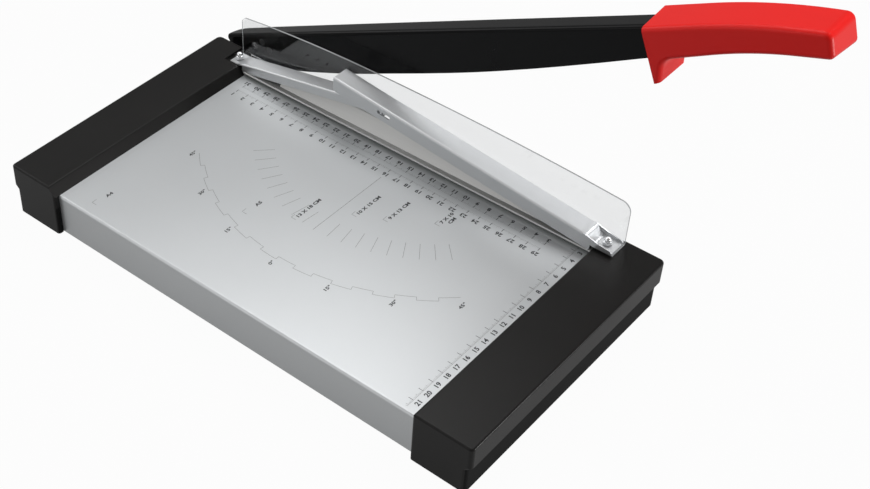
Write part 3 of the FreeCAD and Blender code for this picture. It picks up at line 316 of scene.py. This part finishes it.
# %% Arm enamel with its ground edge
EDGE_FACING, EDGE_TURN = 0.60, 0.985    # the bevel looks back by more than one, less than the other
EDGE_DOWN = 0.1                         # and downwards by more than this
STEEL_TONES = (0.42, 0.43, 0.44), (0.62, 0.63, 0.64)
ENAMEL_TONES = (0.0034, 0.0034, 0.0036), (0.0052, 0.0052, 0.0055)
PEEL, SMEARS, GRIND = 420.0, 22.0, 900.0
GRIND_STRETCH = (1.0, 0.04, 0.04)
PEEL_DEPTH = 0.012 * MM

enamel = Finish("arm_enamel", Specular_IOR_Level=0.10, IOR=1.5)
peel = enamel.noise(PEEL, detail=1.0)
smear = enamel.noise(SMEARS, detail=3.0)
grind = enamel.noise(GRIND, detail=2.0, stretch=GRIND_STRETCH)
back = enamel.facing(Y)
down = enamel.facing(Z) * -1.0
bevel = (back.past(EDGE_FACING, 40.0) * back.before(EDGE_TURN, 120.0)
         * down.past(EDGE_DOWN, 20.0)).clipped()
steel = enamel.between(*STEEL_TONES, grind)
paint = enamel.between(*ENAMEL_TONES, smear)
painted = 1.0 - bevel
enamel.set(Base_Color=enamel.between(paint, steel, bevel), Metallic=bevel,
           Roughness=enamel.around(0.16, (smear, 0.10)) * painted + bevel * 0.30)
enamel.relief(peel * painted + grind * bevel, PEEL_DEPTH)
dress(enamel, "knife_arm", "arm_bracket")

# %% [markdown]
# ## Red handle
# The grip is moulded plastic in one strong red. A flat colour would do from afar, but close up it
# would look like a drawing. Its mould was lightly matted, so a fine relief keeps the highlights
# soft, and where the plastic flowed the colour is a little uneven, which a noise stretched along
# the handle gives.

# %% Handle plastic
GRIP_TONES = (0.77, 0.010, 0.008), (0.83, 0.014, 0.011)
MATTING, FLOW = 1700.0, 26.0
FLOW_STRETCH = (0.4, 1.0, 1.0)
MATTING_DEPTH = 0.022 * MM

grip = Finish("red_grip", Specular_IOR_Level=0.30, IOR=1.46)
matting = grip.noise(MATTING, detail=2.0)
flow = grip.noise(FLOW, detail=3.0, stretch=FLOW_STRETCH)
grip.set(Base_Color=grip.between(*GRIP_TONES, flow), Roughness=grip.around(0.36, (flow, 0.10)))
grip.relief(matting, MATTING_DEPTH)
dress(grip, "handle")

# %% [markdown]
# ## Bare metals
# Rolled steel has long streaks from the rolls, an aluminium extrusion has straight die lines, and
# zinc plated screws are mottled. All of these are one noise with another stretch, so one function
# makes them: its numbers say how dark, how glossy, how streaky and how deep.

# %% A metal from a few numbers
ALONG = (0.012, 1.0, 1.0)           # streaks along X
ACROSS = (1.0, 1.0, 0.02)           # streaks up and down
EVEN = (1.0, 1.0, 1.0)
FINE_SHARE = 0.55                   # of the change in tone, the broad streaks make the rest
BROADER = 0.06                      # lumps of the broad streaks for one of the fine ones


def metal(name, dark, light, gloss, swing, lumps, stretch, depth, bare=1.0):
    """Metal whose tone goes from dark to light with noise, and its roughness about gloss."""
    made = Finish(name, Metallic=bare)
    streak = made.noise(lumps, detail=3.0, stretch=stretch)
    broad = made.noise(lumps * BROADER, detail=2.0, stretch=stretch)
    blend = (streak * FINE_SHARE + broad * (1.0 - FINE_SHARE)).clipped()
    made.set(Base_Color=made.between(dark, light, blend),
             Roughness=made.around(gloss, (blend, swing)))
    made.relief(streak, depth)
    return made


print("streaks along X, across and even:", ALONG, ACROSS, EVEN)

# %% [markdown]
# The levers and the clamp bar are less than fully metallic, because brushed and anodised skins
# scatter part of the light. The chrome of the ball nuts is nearly smooth, so it mirrors the room.

# %% Steel, aluminium, zinc, chrome and brass
dress(metal("lever_steel", (0.57, 0.58, 0.59), (0.64, 0.65, 0.66), gloss=0.36, swing=0.10,
            lumps=1400.0, stretch=ALONG, depth=0.002 * MM, bare=0.75),
      "left_lever", "right_lever")
dress(metal("clamp_aluminium", (0.50, 0.50, 0.49), (0.62, 0.62, 0.61), gloss=0.42, swing=0.16,
            lumps=1500.0, stretch=ALONG, depth=0.006 * MM, bare=0.55),
      "clamp_bar")
dress(metal("ground_steel", (0.48, 0.49, 0.50), (0.58, 0.59, 0.60), gloss=0.30, swing=0.12,
            lumps=1200.0, stretch=ACROSS, depth=0.004 * MM),
      "counter_knife")
dress(metal("zinc_steel", (0.50, 0.51, 0.54), (0.68, 0.68, 0.69), gloss=0.34, swing=0.30,
            lumps=380.0, stretch=EVEN, depth=0.010 * MM),
      "cross_stiffeners", "post_brackets", "clamp_posts", "post_nuts", "post_washers",
      "knife_screws", "cap_screws", "foot_screws", "handle_screws", "pivot_bolt", "pivot_washer",
      "spring_washer", "lock_nut", "clamp_pins", "lever_pin")
dress(metal("chrome", (0.80, 0.81, 0.82), (0.88, 0.88, 0.89), gloss=0.06, swing=0.05,
            lumps=300.0, stretch=EVEN, depth=0.001 * MM),
      "dome_nuts")
spring_steel = metal("spring_steel", (0.34, 0.34, 0.35), (0.48, 0.48, 0.49), gloss=0.30,
                     swing=0.2, lumps=900.0, stretch=EVEN, depth=0.004 * MM)
dress(metal("blackened_steel", (0.10, 0.10, 0.10), (0.17, 0.17, 0.17), gloss=0.38, swing=0.20,
            lumps=600.0, stretch=EVEN, depth=0.006 * MM),
      "arm_rivets")
dress(metal("bush_brass", (0.62, 0.42, 0.16), (0.78, 0.55, 0.24), gloss=0.28, swing=0.2,
            lumps=700.0, stretch=EVEN, depth=0.006 * MM),
      "pivot_bush")

# %% [markdown]
# ## Painted rail
# The rail that holds the knife is hot rolled steel with a plain black powder coat. Powder melts
# into a fine pebbled skin. Real bumps would need millions of faces, so one even noise is used as
# relief and, weaker, in the gloss.

# %% Rail powder coat
POWDER_TONES = (0.016, 0.016, 0.017), (0.026, 0.026, 0.027)
PEBBLES = 1500.0
PEBBLE_DEPTH = 0.06 * MM

powder = Finish("rail_powder", Specular_IOR_Level=0.3)
pebbles = powder.noise(PEBBLES, detail=1.0)
powder.set(Base_Color=powder.between(*POWDER_TONES, pebbles),
           Roughness=powder.around(0.46, (pebbles, 0.2)))
powder.relief(pebbles, PEBBLE_DEPTH)
dress(powder, "rear_rail")

# %% [markdown]
# ## Clear guard
# The finger guard is clear sheet with sawn edges. Real glass shading bends what lies behind it, but
# a renderer without caustics would throw a black shadow, so rays that only test for shadow pass
# through a tinted Transparent shader instead. The sawn edges look to neither face of the sheet, and
# there a share of a pale matt shader makes them frosted.

# %% Guard sheet
SHEET_TONE = (0.845, 0.852, 0.856)
SHADOW_TINT = (0.86, 0.87, 0.88)
FROST_TONE = (0.60, 0.62, 0.63)
EDGE_FROST = 0.6
HAZE = 60.0

clear = Finish("guard_clear", Base_Color=SHEET_TONE, IOR=1.49, Transmission_Weight=1.0,
               Specular_IOR_Level=0.25)
haze = clear.noise(HAZE, detail=2.0)
clear.set(Roughness=0.02 + haze * 0.03)
tint = clear.node("ShaderNodeBsdfTransparent", sockets={"Color": SHADOW_TINT})
sheet = clear.mixed(clear.principled, tint, clear.ray("Shadow"))
flat = clear.facing(Y)
sawn = (flat * flat).before(0.7, 8.0)
frost = clear.node("ShaderNodeBsdfDiffuse", sockets={"Color": FROST_TONE})
clear.show(clear.mixed(sheet, frost, sawn * EDGE_FROST))
dress(clear, "finger_guard")

# %% [markdown]
# ## Putting arrays into a mesh
# The new pieces, springs and print, could be modelled by hand or with modifiers. Here they are
# worked out with numpy as whole arrays of points, which is quick and keeps each shape a formula.
# One function puts such arrays into a mesh and lets it ride on a body of the machine.

# %% From arrays to a piece
def mesh_piece(name, points, faces, finish, body="base"):
    """Puts arrays of points (metres) and faces into a mesh that rides on a body."""
    mesh = bpy.data.meshes.new(name)
    mesh.from_pydata(points.tolist(), [], faces)
    mesh.update()
    mesh.materials.append(finish.material)
    made = bpy.data.objects.new(name, mesh)
    bpy.context.scene.collection.objects.link(made)
    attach(made, body)
    print(name, len(points), "points,", len(faces), "faces on", body)
    return made


# %% [markdown]
# ## Clamp springs
# Two springs of round wire lift the clamp bar. A spring could be a Screw modifier on a circle, but
# real end turns lie close and the turns between are open, and a formula can say that: the wire's
# middle is a helix whose rise slows near both ends, and rings of points stand round it.

# %% The shape of a spring
SPRING_R = 3.3 * MM
WIRE_R = 0.4 * MM
TURNS = 6.5
TURN_STEPS, ROUND_STEPS = 36, 10
END_CLOSING = 0.12      # how much closer the end turns lie
spring_lo, spring_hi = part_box("clamp_springs")
SPRING_Y = (spring_lo.y + spring_hi.y) / 2
SPRING_XS = (spring_lo.x + SPRING_R + WIRE_R, spring_hi.x - SPRING_R - WIRE_R)


def coil(x):
    """Points (steps, round, 3) of a wire of radius w about the helix (x + R cos a, y + R sin a, z).

    The height z climbs with the share s of the length as s - c sin(2 pi s), with c the closing of
    the ends. A ring's point at angle b is the helix point + w (cos b outwards + sin b downwards),
    in the plane that is square to the wire.
    """
    share = np.linspace(0.0, 1.0, int(TURNS * TURN_STEPS) + 1)
    a = 2 * np.pi * TURNS * share
    rise = share - END_CLOSING * np.sin(2 * np.pi * share)
    out = np.stack([np.cos(a), np.sin(a), 0 * a], 1)
    bottom, top = spring_lo.z + WIRE_R, spring_hi.z - WIRE_R
    middle = np.array([x, SPRING_Y, 0.0]) + SPRING_R * out
    middle[:, Z] = bottom + (top - bottom) * rise
    run = np.gradient(middle, axis=0)
    run /= np.linalg.norm(run, axis=1, keepdims=True)
    down = np.cross(run, out)
    around = np.linspace(0.0, 2 * np.pi, ROUND_STEPS, endpoint=False)
    ring = np.cos(around)[:, None] * out[:, None] + np.sin(around)[:, None] * down[:, None]
    return middle[:, None] + WIRE_R * ring


def tube_faces(steps, start):
    """Quads between neighbouring rings of a tube, and a face over each end, all outwards."""
    ring = np.arange(ROUND_STEPS)
    row = np.arange(steps - 1)[:, None] * ROUND_STEPS
    after = (ring + 1) % ROUND_STEPS
    quads = np.stack([row + ring, row + after, row + ROUND_STEPS + after,
                      row + ROUND_STEPS + ring], 2)
    last = ring + (steps - 1) * ROUND_STEPS
    ends = [(ring[::-1] + start).tolist(), (last + start).tolist()]
    return (quads.reshape(-1, 4) + start).tolist() + ends


print("springs at x (mm)", [round(x / MM, 1) for x in SPRING_XS], "with", TURNS, "turns")

# %% [markdown]
# The springs stand for the plain solids of the CAD model.

coils = [coil(x) for x in SPRING_XS]
steps = len(coils[0])
springs = mesh_piece("round_springs", np.concatenate(coils).reshape(-1, 3),
                     tube_faces(steps, 0) + tube_faces(steps, steps * ROUND_STEPS), spring_steel)
springs.data.polygons.foreach_set("use_smooth", [True] * len(springs.data.polygons))
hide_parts("clamp_springs")
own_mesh(springs)

# %% [markdown]
# ## Printed scales
# The table is screen printed. An image would be the quick way, but ink is a layer of some
# hundredths of a millimetre, so each line can be a very thin slab on the sheet and each figure a
# letter shape with the same thickness. The scales are then built from what they mean.

# %% The table's own measures
INK_T = 0.03 * MM
TABLE_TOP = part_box("table_plate")[1].z
SCALE_ZERO_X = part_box("pivot_end_cap")[1].x     # where the pivot cap's wall stands on the table
CUT_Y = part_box("counter_knife")[1].y            # cutting edge
TABLE_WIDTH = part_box("handle_end_cap")[0].x - SCALE_ZERO_X


def on_table(x, y):
    """Points of the sheet in metres: x mm from the pivot cap and y mm from the cutting edge."""
    return SCALE_ZERO_X + np.asarray(x, float) * MM, CUT_Y + np.asarray(y, float) * MM


print("scale zero at x", round(SCALE_ZERO_X / MM, 1), "mm, cutting edge at y",
      round(CUT_Y / MM, 1), "mm, width", round(TABLE_WIDTH / MM, 1), "mm")

# %% [markdown]
# Screen ink dries uneven, so its tone follows a fine noise. Hair lines let some of the silver
# through. They could be half clear, but a second, paler ink looks the same and keeps clear layers
# off the table.

# %% Inks
INKS = {"scale_ink": ((0.020, 0.021, 0.024), (0.055, 0.056, 0.060)),
        "thin_scale_ink": ((0.16, 0.165, 0.17), (0.24, 0.245, 0.25))}
WEAR = 500.0


def screen_ink(name):
    """Dull ink whose tone swings with the wear of the print."""
    made = Finish(name, Specular_IOR_Level=0.35, Roughness=0.5)
    made.set(Base_Color=made.between(*INKS[name], made.noise(WEAR, detail=3.0)))
    print(name, INKS[name])
    return made


ink, thin_ink = [screen_ink(name) for name in INKS]

# %% [markdown]
# A printed line is a slab between two points. Each could be an object, but that would be hundreds
# of them, so all lines of one kind are worked out at once, as arrays of their starts and ends, and
# make one piece.

# %% Lines as slabs
CUBE = np.array([[4, 5, 6, 7], [3, 2, 1, 0], [0, 1, 5, 4], [1, 2, 6, 5], [2, 3, 7, 6],
                 [3, 0, 4, 7]])     # faces of a slab with its corners 0 to 3 low, 4 to 7 high


def slabs(starts, ends, width):
    """Thin slab along each line: its ends moved sideways by half the width, at two heights."""
    run = ends - starts
    side = np.stack([-run[:, Y], run[:, X]], 1)
    side *= (width / 2) / np.linalg.norm(side, axis=1, keepdims=True)
    corners = np.stack([starts + side, starts - side, ends - side, ends + side], 1)
    low = np.concatenate([corners, np.full(corners.shape[:2] + (1,), TABLE_TOP)], 2)
    high = low + np.array([0.0, 0.0, INK_T])
    points = np.concatenate([low, high], 1).reshape(-1, 3)
    faces = (CUBE + 8 * np.arange(len(starts))[:, None, None]).reshape(-1, 4)
    return points, faces.tolist()


def lines(name, x0, y0, x1, y1, width, finish):
    """Straight printed lines between arrays of table measures, from (x0, y0) to (x1, y1)."""
    starts = np.stack(np.broadcast_arrays(*on_table(x0, y0)), 1)
    ends = np.stack(np.broadcast_arrays(*on_table(x1, y1)), 1)
    points, faces = slabs(starts, ends, width * MM)
    return mesh_piece(name, points, faces, finish)


def without_fives(places):
    """Drops the places of the half and whole centimetres."""
    return places[places % 5 != 0]


print("ink thickness (mm)", INK_T / MM)

# %% [markdown]
# ## Letters
# Figures come from Blender's own font as filled outlines. Each could stay a text object, but that
# would be dozens of them, so a word is turned into a mesh, centred and placed with array sums, and
# all words of a scale are one piece.

# %% Letters to mesh
WIDE = 1.38         # the printed face of the notes is an extended one
FIGURE_WIDE = 1.08  # that of the figures on the scales isn't
BOLD = 0.055        # strokes are thickened by this share of the height
FIGURE_BOLD = 0.045
FONT_CAP = 0.70     # height of a capital of Blender's font for size 1
CURVE_STEPS = 2     # steps in a curve of a letter
RAISED = 0.01       # any thickness, set to that of ink later


def word(text, height, wide, bold):
    """A word's points and faces, centred, height in mm, lying flat with its top towards +Y."""
    curve = bpy.data.curves.new("word", "FONT")
    curve.body = text
    curve.size = height / FONT_CAP
    curve.resolution_u = CURVE_STEPS
    curve.offset = bold * height
    curve.extrude = RAISED
    holder = bpy.data.objects.new("word", curve)
    mesh = bpy.data.meshes.new_from_object(holder)
    points = np.zeros(len(mesh.vertices) * 3, np.float32)
    mesh.vertices.foreach_get("co", points)
    points = points.reshape(-1, 3).astype(float)
    faces = [list(face.vertices) for face in mesh.polygons]
    bpy.data.objects.remove(holder)
    bpy.data.curves.remove(curve)
    bpy.data.meshes.remove(mesh)
    points[:, X] *= wide
    middle = (points.min(0) + points.max(0)) / 2
    return points - middle, faces


def lettering(name, words, height, finish, wide=WIDE, bold=BOLD):
    """One piece of words (text, x, y, turn in degrees, anchor).

    Anchor 0 puts a word's middle at (x, y), and -1 its start. A point (u, v) of a word turned by t
    goes to (x + u cos t - v sin t, y + u sin t + v cos t).
    """
    all_points, all_faces, base = [], [], 0
    for text, x, y, turn, anchor in words:
        points, faces = word(text, height, wide, bold)
        points[:, X] -= anchor * np.ptp(points[:, X]) / 2
        c, s = math.cos(math.radians(turn)), math.sin(math.radians(turn))
        px, py = on_table(x + points[:, X] * c - points[:, Y] * s,
                          y + points[:, X] * s + points[:, Y] * c)
        level = TABLE_TOP + INK_T * (points[:, Z] - points[:, Z].min()) / np.ptp(points[:, Z])
        all_points.append(np.stack([px, py, level], 1))
        all_faces += [[base + i for i in face] for face in faces]
        base += len(points)
    return mesh_piece(name, np.concatenate(all_points), all_faces, finish)


print("width of the letters: notes", WIDE, "figures", FIGURE_WIDE)

# %% [markdown]
# ### Ruler rows beside the clamp
# Two rows of figures run along the cutting edge, both read from behind the machine: one counts from
# the handle end and one from the pivot end. Their ticks grow from two base lines, away from each
# other. A row could be drawn once and copied, but the rows aren't copies of each other: they share
# their places and are mirrored in the gap between them, so one function makes both from one list.

# %% Ruler rows
ROW_CM = np.arange(1, 30)
SPAN_CM = 32
FIGURES_A_Y, FIGURES_B_Y = -33.0, -50.0
BASE_A_Y, BASE_B_Y = -38.9, -43.1
TICK_CM, TICK_HALF, TICK_MM = 3.3, 2.0, 1.3
LINE_W, HALF_W, HAIR_W = 0.42, 0.169, 0.13
FIGURE_H = 3.4
UPSIDE = 180.0


def row_ticks(name, places, length, width, finish):
    """Ticks of both rows at places along the cut: up from base line A and down from B."""
    start = np.repeat([BASE_A_Y, BASE_B_Y], len(places))
    end = start + np.repeat([length, -length], len(places))
    both = np.tile(places, 2)
    return lines(name, both, start, both, end, width, finish)


row_cm = ROW_CM * 10.0
row_ticks("ruler_centimetres", row_cm, TICK_CM, LINE_W, ink)
row_ticks("ruler_halves", row_cm[:-1] + 5.0, TICK_HALF, HALF_W, thin_ink)
row_ticks("ruler_millimetres", without_fives(np.arange(row_cm[0], row_cm[-1] + 0.5)), TICK_MM,
          HAIR_W, thin_ink)
lettering("ruler_figures",
          [(str(SPAN_CM - k), 10.0 * k, FIGURES_A_Y, UPSIDE, 0) for k in ROW_CM]
          + [(str(k), 10.0 * k, FIGURES_B_Y, UPSIDE, 0) for k in ROW_CM],
          FIGURE_H, ink, FIGURE_WIDE, FIGURE_BOLD)

# %% [markdown]
# ### Depth scale beside the handle cap
# A third scale measures the sheet at right angles to the cut. It could be a turned ruler row, but
# it has a base line and other limits, so it is written in its own terms: the line stands 10 mm from
# the cap, the ticks grow away from the cap, and the figures are read from the side.

# %% Depth scale
DEPTH_LINE_X, DEPTH_FIGURE_X = 309.8, 313.4
DEPTH_CM = np.arange(3, 22)
DEPTH_START, DEPTH_END = -20.0, -216.0
DEPTH_TICK = 3.8
DEPTH_LINE_W = 0.336
SIDEWAYS = 90.0


def depth_ticks(name, places, length, width, finish):
    """Ticks of the depth scale at places from the cutting edge, from the base line inwards."""
    return lines(name, DEPTH_LINE_X, places, DEPTH_LINE_X - length, places, width, finish)


depth_cm = DEPTH_CM * -10.0
depth_ticks("depth_centimetres", depth_cm, DEPTH_TICK, DEPTH_LINE_W, ink)
depth_ticks("depth_halves", np.arange(-25.0, DEPTH_END, -10.0), TICK_HALF, HALF_W, thin_ink)
depth_ticks("depth_millimetres", without_fives(np.arange(-22.0, DEPTH_END - 0.5, -1.0)), TICK_MM,
            HAIR_W, thin_ink)
lines("depth_base_line", [DEPTH_LINE_X], [DEPTH_START], [DEPTH_LINE_X], [DEPTH_END], HAIR_W,
      thin_ink)
lettering("depth_figures", [(str(k), DEPTH_FIGURE_X, -10.0 * k, SIDEWAYS, 0) for k in DEPTH_CM],
          FIGURE_H, ink, FIGURE_WIDE, FIGURE_BOLD)

# %% [markdown]
# ### Angle dial
# Angles are read from a stepped arc about a centre on the cutting line: the line jumps between two
# radii every five degrees. Polar measures describe it best, so one function turns an angle and a
# radius into a place on the table, and each step of the arc is cut into a few short lines.

# %% Angle dial
DIAL_X, DIAL_Y = 160.6, -0.9
STEP_OUT, STEP_IN = 168.5, 165.4
RAY_IN, RAY_OUT = 112.9, 128.7
DIAL_LABEL_R = 173.3
DIAL_END, STEP_DEG, LABEL_DEG = 45, 5, 15
ARC_PIECES = 5                  # short lines in each step of the arc
CENTRE_LINE_X, CENTRE_LINE_FROM, CENTRE_LINE_TO = 160.0, -54.6, -129.9
GRID_W, CENTRE_W = 0.26, 0.312
LABEL_H = 2.55


def dial(angle, radius):
    """Place at an angle from straight ahead: (centre x + r sin a, centre y - r cos a)."""
    a = np.radians(angle)
    return DIAL_X + radius * np.sin(a), DIAL_Y - radius * np.cos(a)


def dial_lines(name, angle0, radius0, angle1, radius1):
    """Thin lines between two places of the dial."""
    return lines(name, *dial(angle0, radius0), *dial(angle1, radius1), GRID_W, thin_ink)


step = np.arange(-DIAL_END, DIAL_END, STEP_DEG)
cut = np.linspace(0, STEP_DEG, ARC_PIECES + 1)
arc_from = (step[:, None] + cut[:-1]).ravel()
arc_to = (step[:, None] + cut[1:]).ravel()
arc_r = np.repeat(np.where(np.arange(len(step)) % 2 == 0, STEP_OUT, STEP_IN), ARC_PIECES)
jump = step[1:]
dial_lines("dial_steps", np.append(arc_from, jump), np.append(arc_r, jump * 0 + STEP_OUT),
           np.append(arc_to, jump), np.append(arc_r, jump * 0 + STEP_IN))
rays = np.arange(-DIAL_END, DIAL_END + STEP_DEG, STEP_DEG)
rays = rays[rays != 0]
dial_lines("dial_rays", rays, RAY_IN, rays, RAY_OUT)
lines("centre_line", [CENTRE_LINE_X], [CENTRE_LINE_FROM], [CENTRE_LINE_X], [CENTRE_LINE_TO],
      CENTRE_W, thin_ink)
lettering("dial_figures",
          [(f"{abs(angle)}°", *dial(angle, DIAL_LABEL_R), SIDEWAYS, 0)
           for angle in range(-DIAL_END, DIAL_END + 1, LABEL_DEG)],
          LABEL_H, ink, bold=FIGURE_BOLD)

# %% [markdown]
# ### Paper sizes
# Small corner marks show where the corner of a common size comes, with the opposite edges on the
# cutting line and against the handle cap. Their places could be measured one by one, but they
# follow from the sizes: on a table of width w, a size of a by b has its corner at (w - a, -b).

# %% Paper sizes
FORMATS = (("A4", 297, 210), ("A5", 210, 148), ("13 x 18 cm", 180, 130),
           ("10 x 15 cm", 150, 100), ("9 x 13 cm", 130, 90), ("7 x 10", 100, 70))
CORNER_LEG = 4.2
FORMAT_H = 2.6
FORMAT_IN = (2.9, 3.2)
LETTER_SKIP = 7.5       # the names of the A sizes start further from their corner
NEXT_LINE = (4.4, 3.5)  # from the start of the last note to its second line

corner_x = np.array([TABLE_WIDTH / MM - a for _, a, _ in FORMATS])
corner_y = np.array([-float(b) for _, _, b in FORMATS])
lines("format_corners", np.tile(corner_x, 2), np.tile(corner_y, 2),
      np.append(corner_x + CORNER_LEG, corner_x), np.append(corner_y, corner_y + CORNER_LEG),
      GRID_W, thin_ink)
notes = [(text.upper(), x + FORMAT_IN[0],
          y + FORMAT_IN[1] + (LETTER_SKIP if text.startswith("A") else 0.0), SIDEWAYS, -1)
         for (text, _, _), x, y in zip(FORMATS, corner_x, corner_y)]
_, last_x, last_y, _, _ = notes[-1]
notes.append(("CM", last_x + NEXT_LINE[0], last_y + NEXT_LINE[1], SIDEWAYS, -1))
lettering("format_notes", notes, FORMAT_H, ink)

# %% [markdown]
# ## Floor
# A pale floor carries the object's shadow. More light would make it white and burn out the pale
# table as well, so the kind of ray decides: the camera's own rays, and those through the guard, see
# a nearly white floor, reflections see a third of that, and light that bounces onto the object
# comes from a plain grey.

# %% Floor
FLOOR_HALF = 3.0
FLOOR_TONE = (0.34, 0.34, 0.34)
FLOOR_GLOW, FLOOR_MIRRORED = 0.965, 0.34


def backdrop_share(graph, straight, mirrored):
    """Share of white: straight for the camera's rays and those through glass, mirrored in gloss."""
    seen = (graph.ray("Camera") + graph.ray("Transmission")).clipped()
    return seen * straight + graph.ray("Glossy") * mirrored


corners = [(-FLOOR_HALF, -FLOOR_HALF, 0.0), (FLOOR_HALF, -FLOOR_HALF, 0.0),
           (FLOOR_HALF, FLOOR_HALF, 0.0), (-FLOOR_HALF, FLOOR_HALF, 0.0)]
floor_mesh = bpy.data.meshes.new("floor")
floor_mesh.from_pydata(corners, [], [(0, 1, 2, 3)])
floor = bpy.data.objects.new("floor", floor_mesh)
bpy.context.scene.collection.objects.link(floor)
paper = Finish("floor_paper", Base_Color=FLOOR_TONE, Roughness=0.9, Specular_IOR_Level=0.1)
glow = paper.node("ShaderNodeEmission", sockets={"Color": WHITE, "Strength": 1.0})
paper.show(paper.mixed(paper.principled, glow, backdrop_share(paper, FLOOR_GLOW, FLOOR_MIRRORED)))
floor_mesh.materials.append(paper.material)
print("floor", 2 * FLOOR_HALF, "m wide")

# %% [markdown]
# ## World
# Past the floor is the world. An image of a studio wrapped round the scene would give livelier
# reflections, but the soft boxes do that here, so the world only gives plain, weak light from all
# sides. Straight rays see it as white, and reflections as grey, in the same way as the floor.

# %% World
WORLD_LIGHT = 0.04
WORLD_MIRRORED = 0.28
world = bpy.data.worlds.new("studio")
bpy.context.scene.world = world
world.use_nodes = True
sky = Graph(world.node_tree)
plain, bright = [sky.node("ShaderNodeBackground", sockets={"Color": WHITE, "Strength": strength})
                 for strength in (WORLD_LIGHT, 1.0)]
sky.tree.nodes.remove(sky.tree.nodes["Background"])
sky.feed(sky.tree.nodes["World Output"].inputs["Surface"],
         sky.mixed(plain, bright, backdrop_share(sky, 1.0, WORLD_MIRRORED)))
print("world light", WORLD_LIGHT)

# %% [markdown]
# ## Soft boxes
# Seven soft boxes light the machine. The key and the back box stand behind it, draw the levers'
# shadows on the scale and give the table its broad gloss. Boxes at the left, at the right and in
# front shape the arm, the levers and the apron. Two weak ones overhead keep the shadows open.
# Large boxes are used because small lamps would give hard shadows and small bright highlights.

# %% Soft boxes
TABLE_MIDDLE = (0.0, 0.0, 0.03)
CLAMP_HEIGHT = (0.0, 0.0, 0.05)
TABLE_FRONT = (0.0, -0.10, 0.05)
LAMPS = (   # name, place, the point it faces, side in m, watts, seen in reflections
    ("key_box", (0.40, 0.70, 1.15), TABLE_MIDDLE, 0.60, 8.0, False),
    ("back_box", (-0.48, 0.36, 1.25), (-0.05, 0.0, 0.03), 0.75, 4.4, True),
    ("left_box", (-1.20, -0.10, 0.80), CLAMP_HEIGHT, 0.80, 3.4, True),
    ("right_box", (1.25, 0.50, 0.26), (0.0, 0.0, 0.12), 0.50, 8.8, True),
    ("front_box", (-0.70, -1.20, 0.60), CLAMP_HEIGHT, 1.00, 3.0, True),
    ("top_box", (-0.10, -0.35, 1.50), TABLE_FRONT, 1.20, 1.0, False),
    ("near_box", (0.05, -0.40, 0.75), TABLE_FRONT, 0.50, 1.5, False),
)


def soft_box(name, at, towards, side, watts, in_gloss):
    """Square lamp at a place, turned to face a point; reflections can leave it out."""
    lamp = bpy.data.lights.new(name, "AREA")
    lamp.shape = "SQUARE"
    lamp.size = side
    lamp.energy = watts
    made = bpy.data.objects.new(name, lamp)
    bpy.context.scene.collection.objects.link(made)
    made.location = at
    made.visible_glossy = in_gloss
    away = mathutils.Vector(at) - mathutils.Vector(towards)
    made.rotation_euler = away.to_track_quat("Z", "Y").to_euler()
    print(name, "at", at, watts, "W")


for lamp in LAMPS:
    soft_box(*lamp)

# %% [markdown]
# ## Finish
# The view transform is Standard, so a colour shows as it is written.

# %% Close
bpy.context.scene.view_settings.view_transform = "Standard"
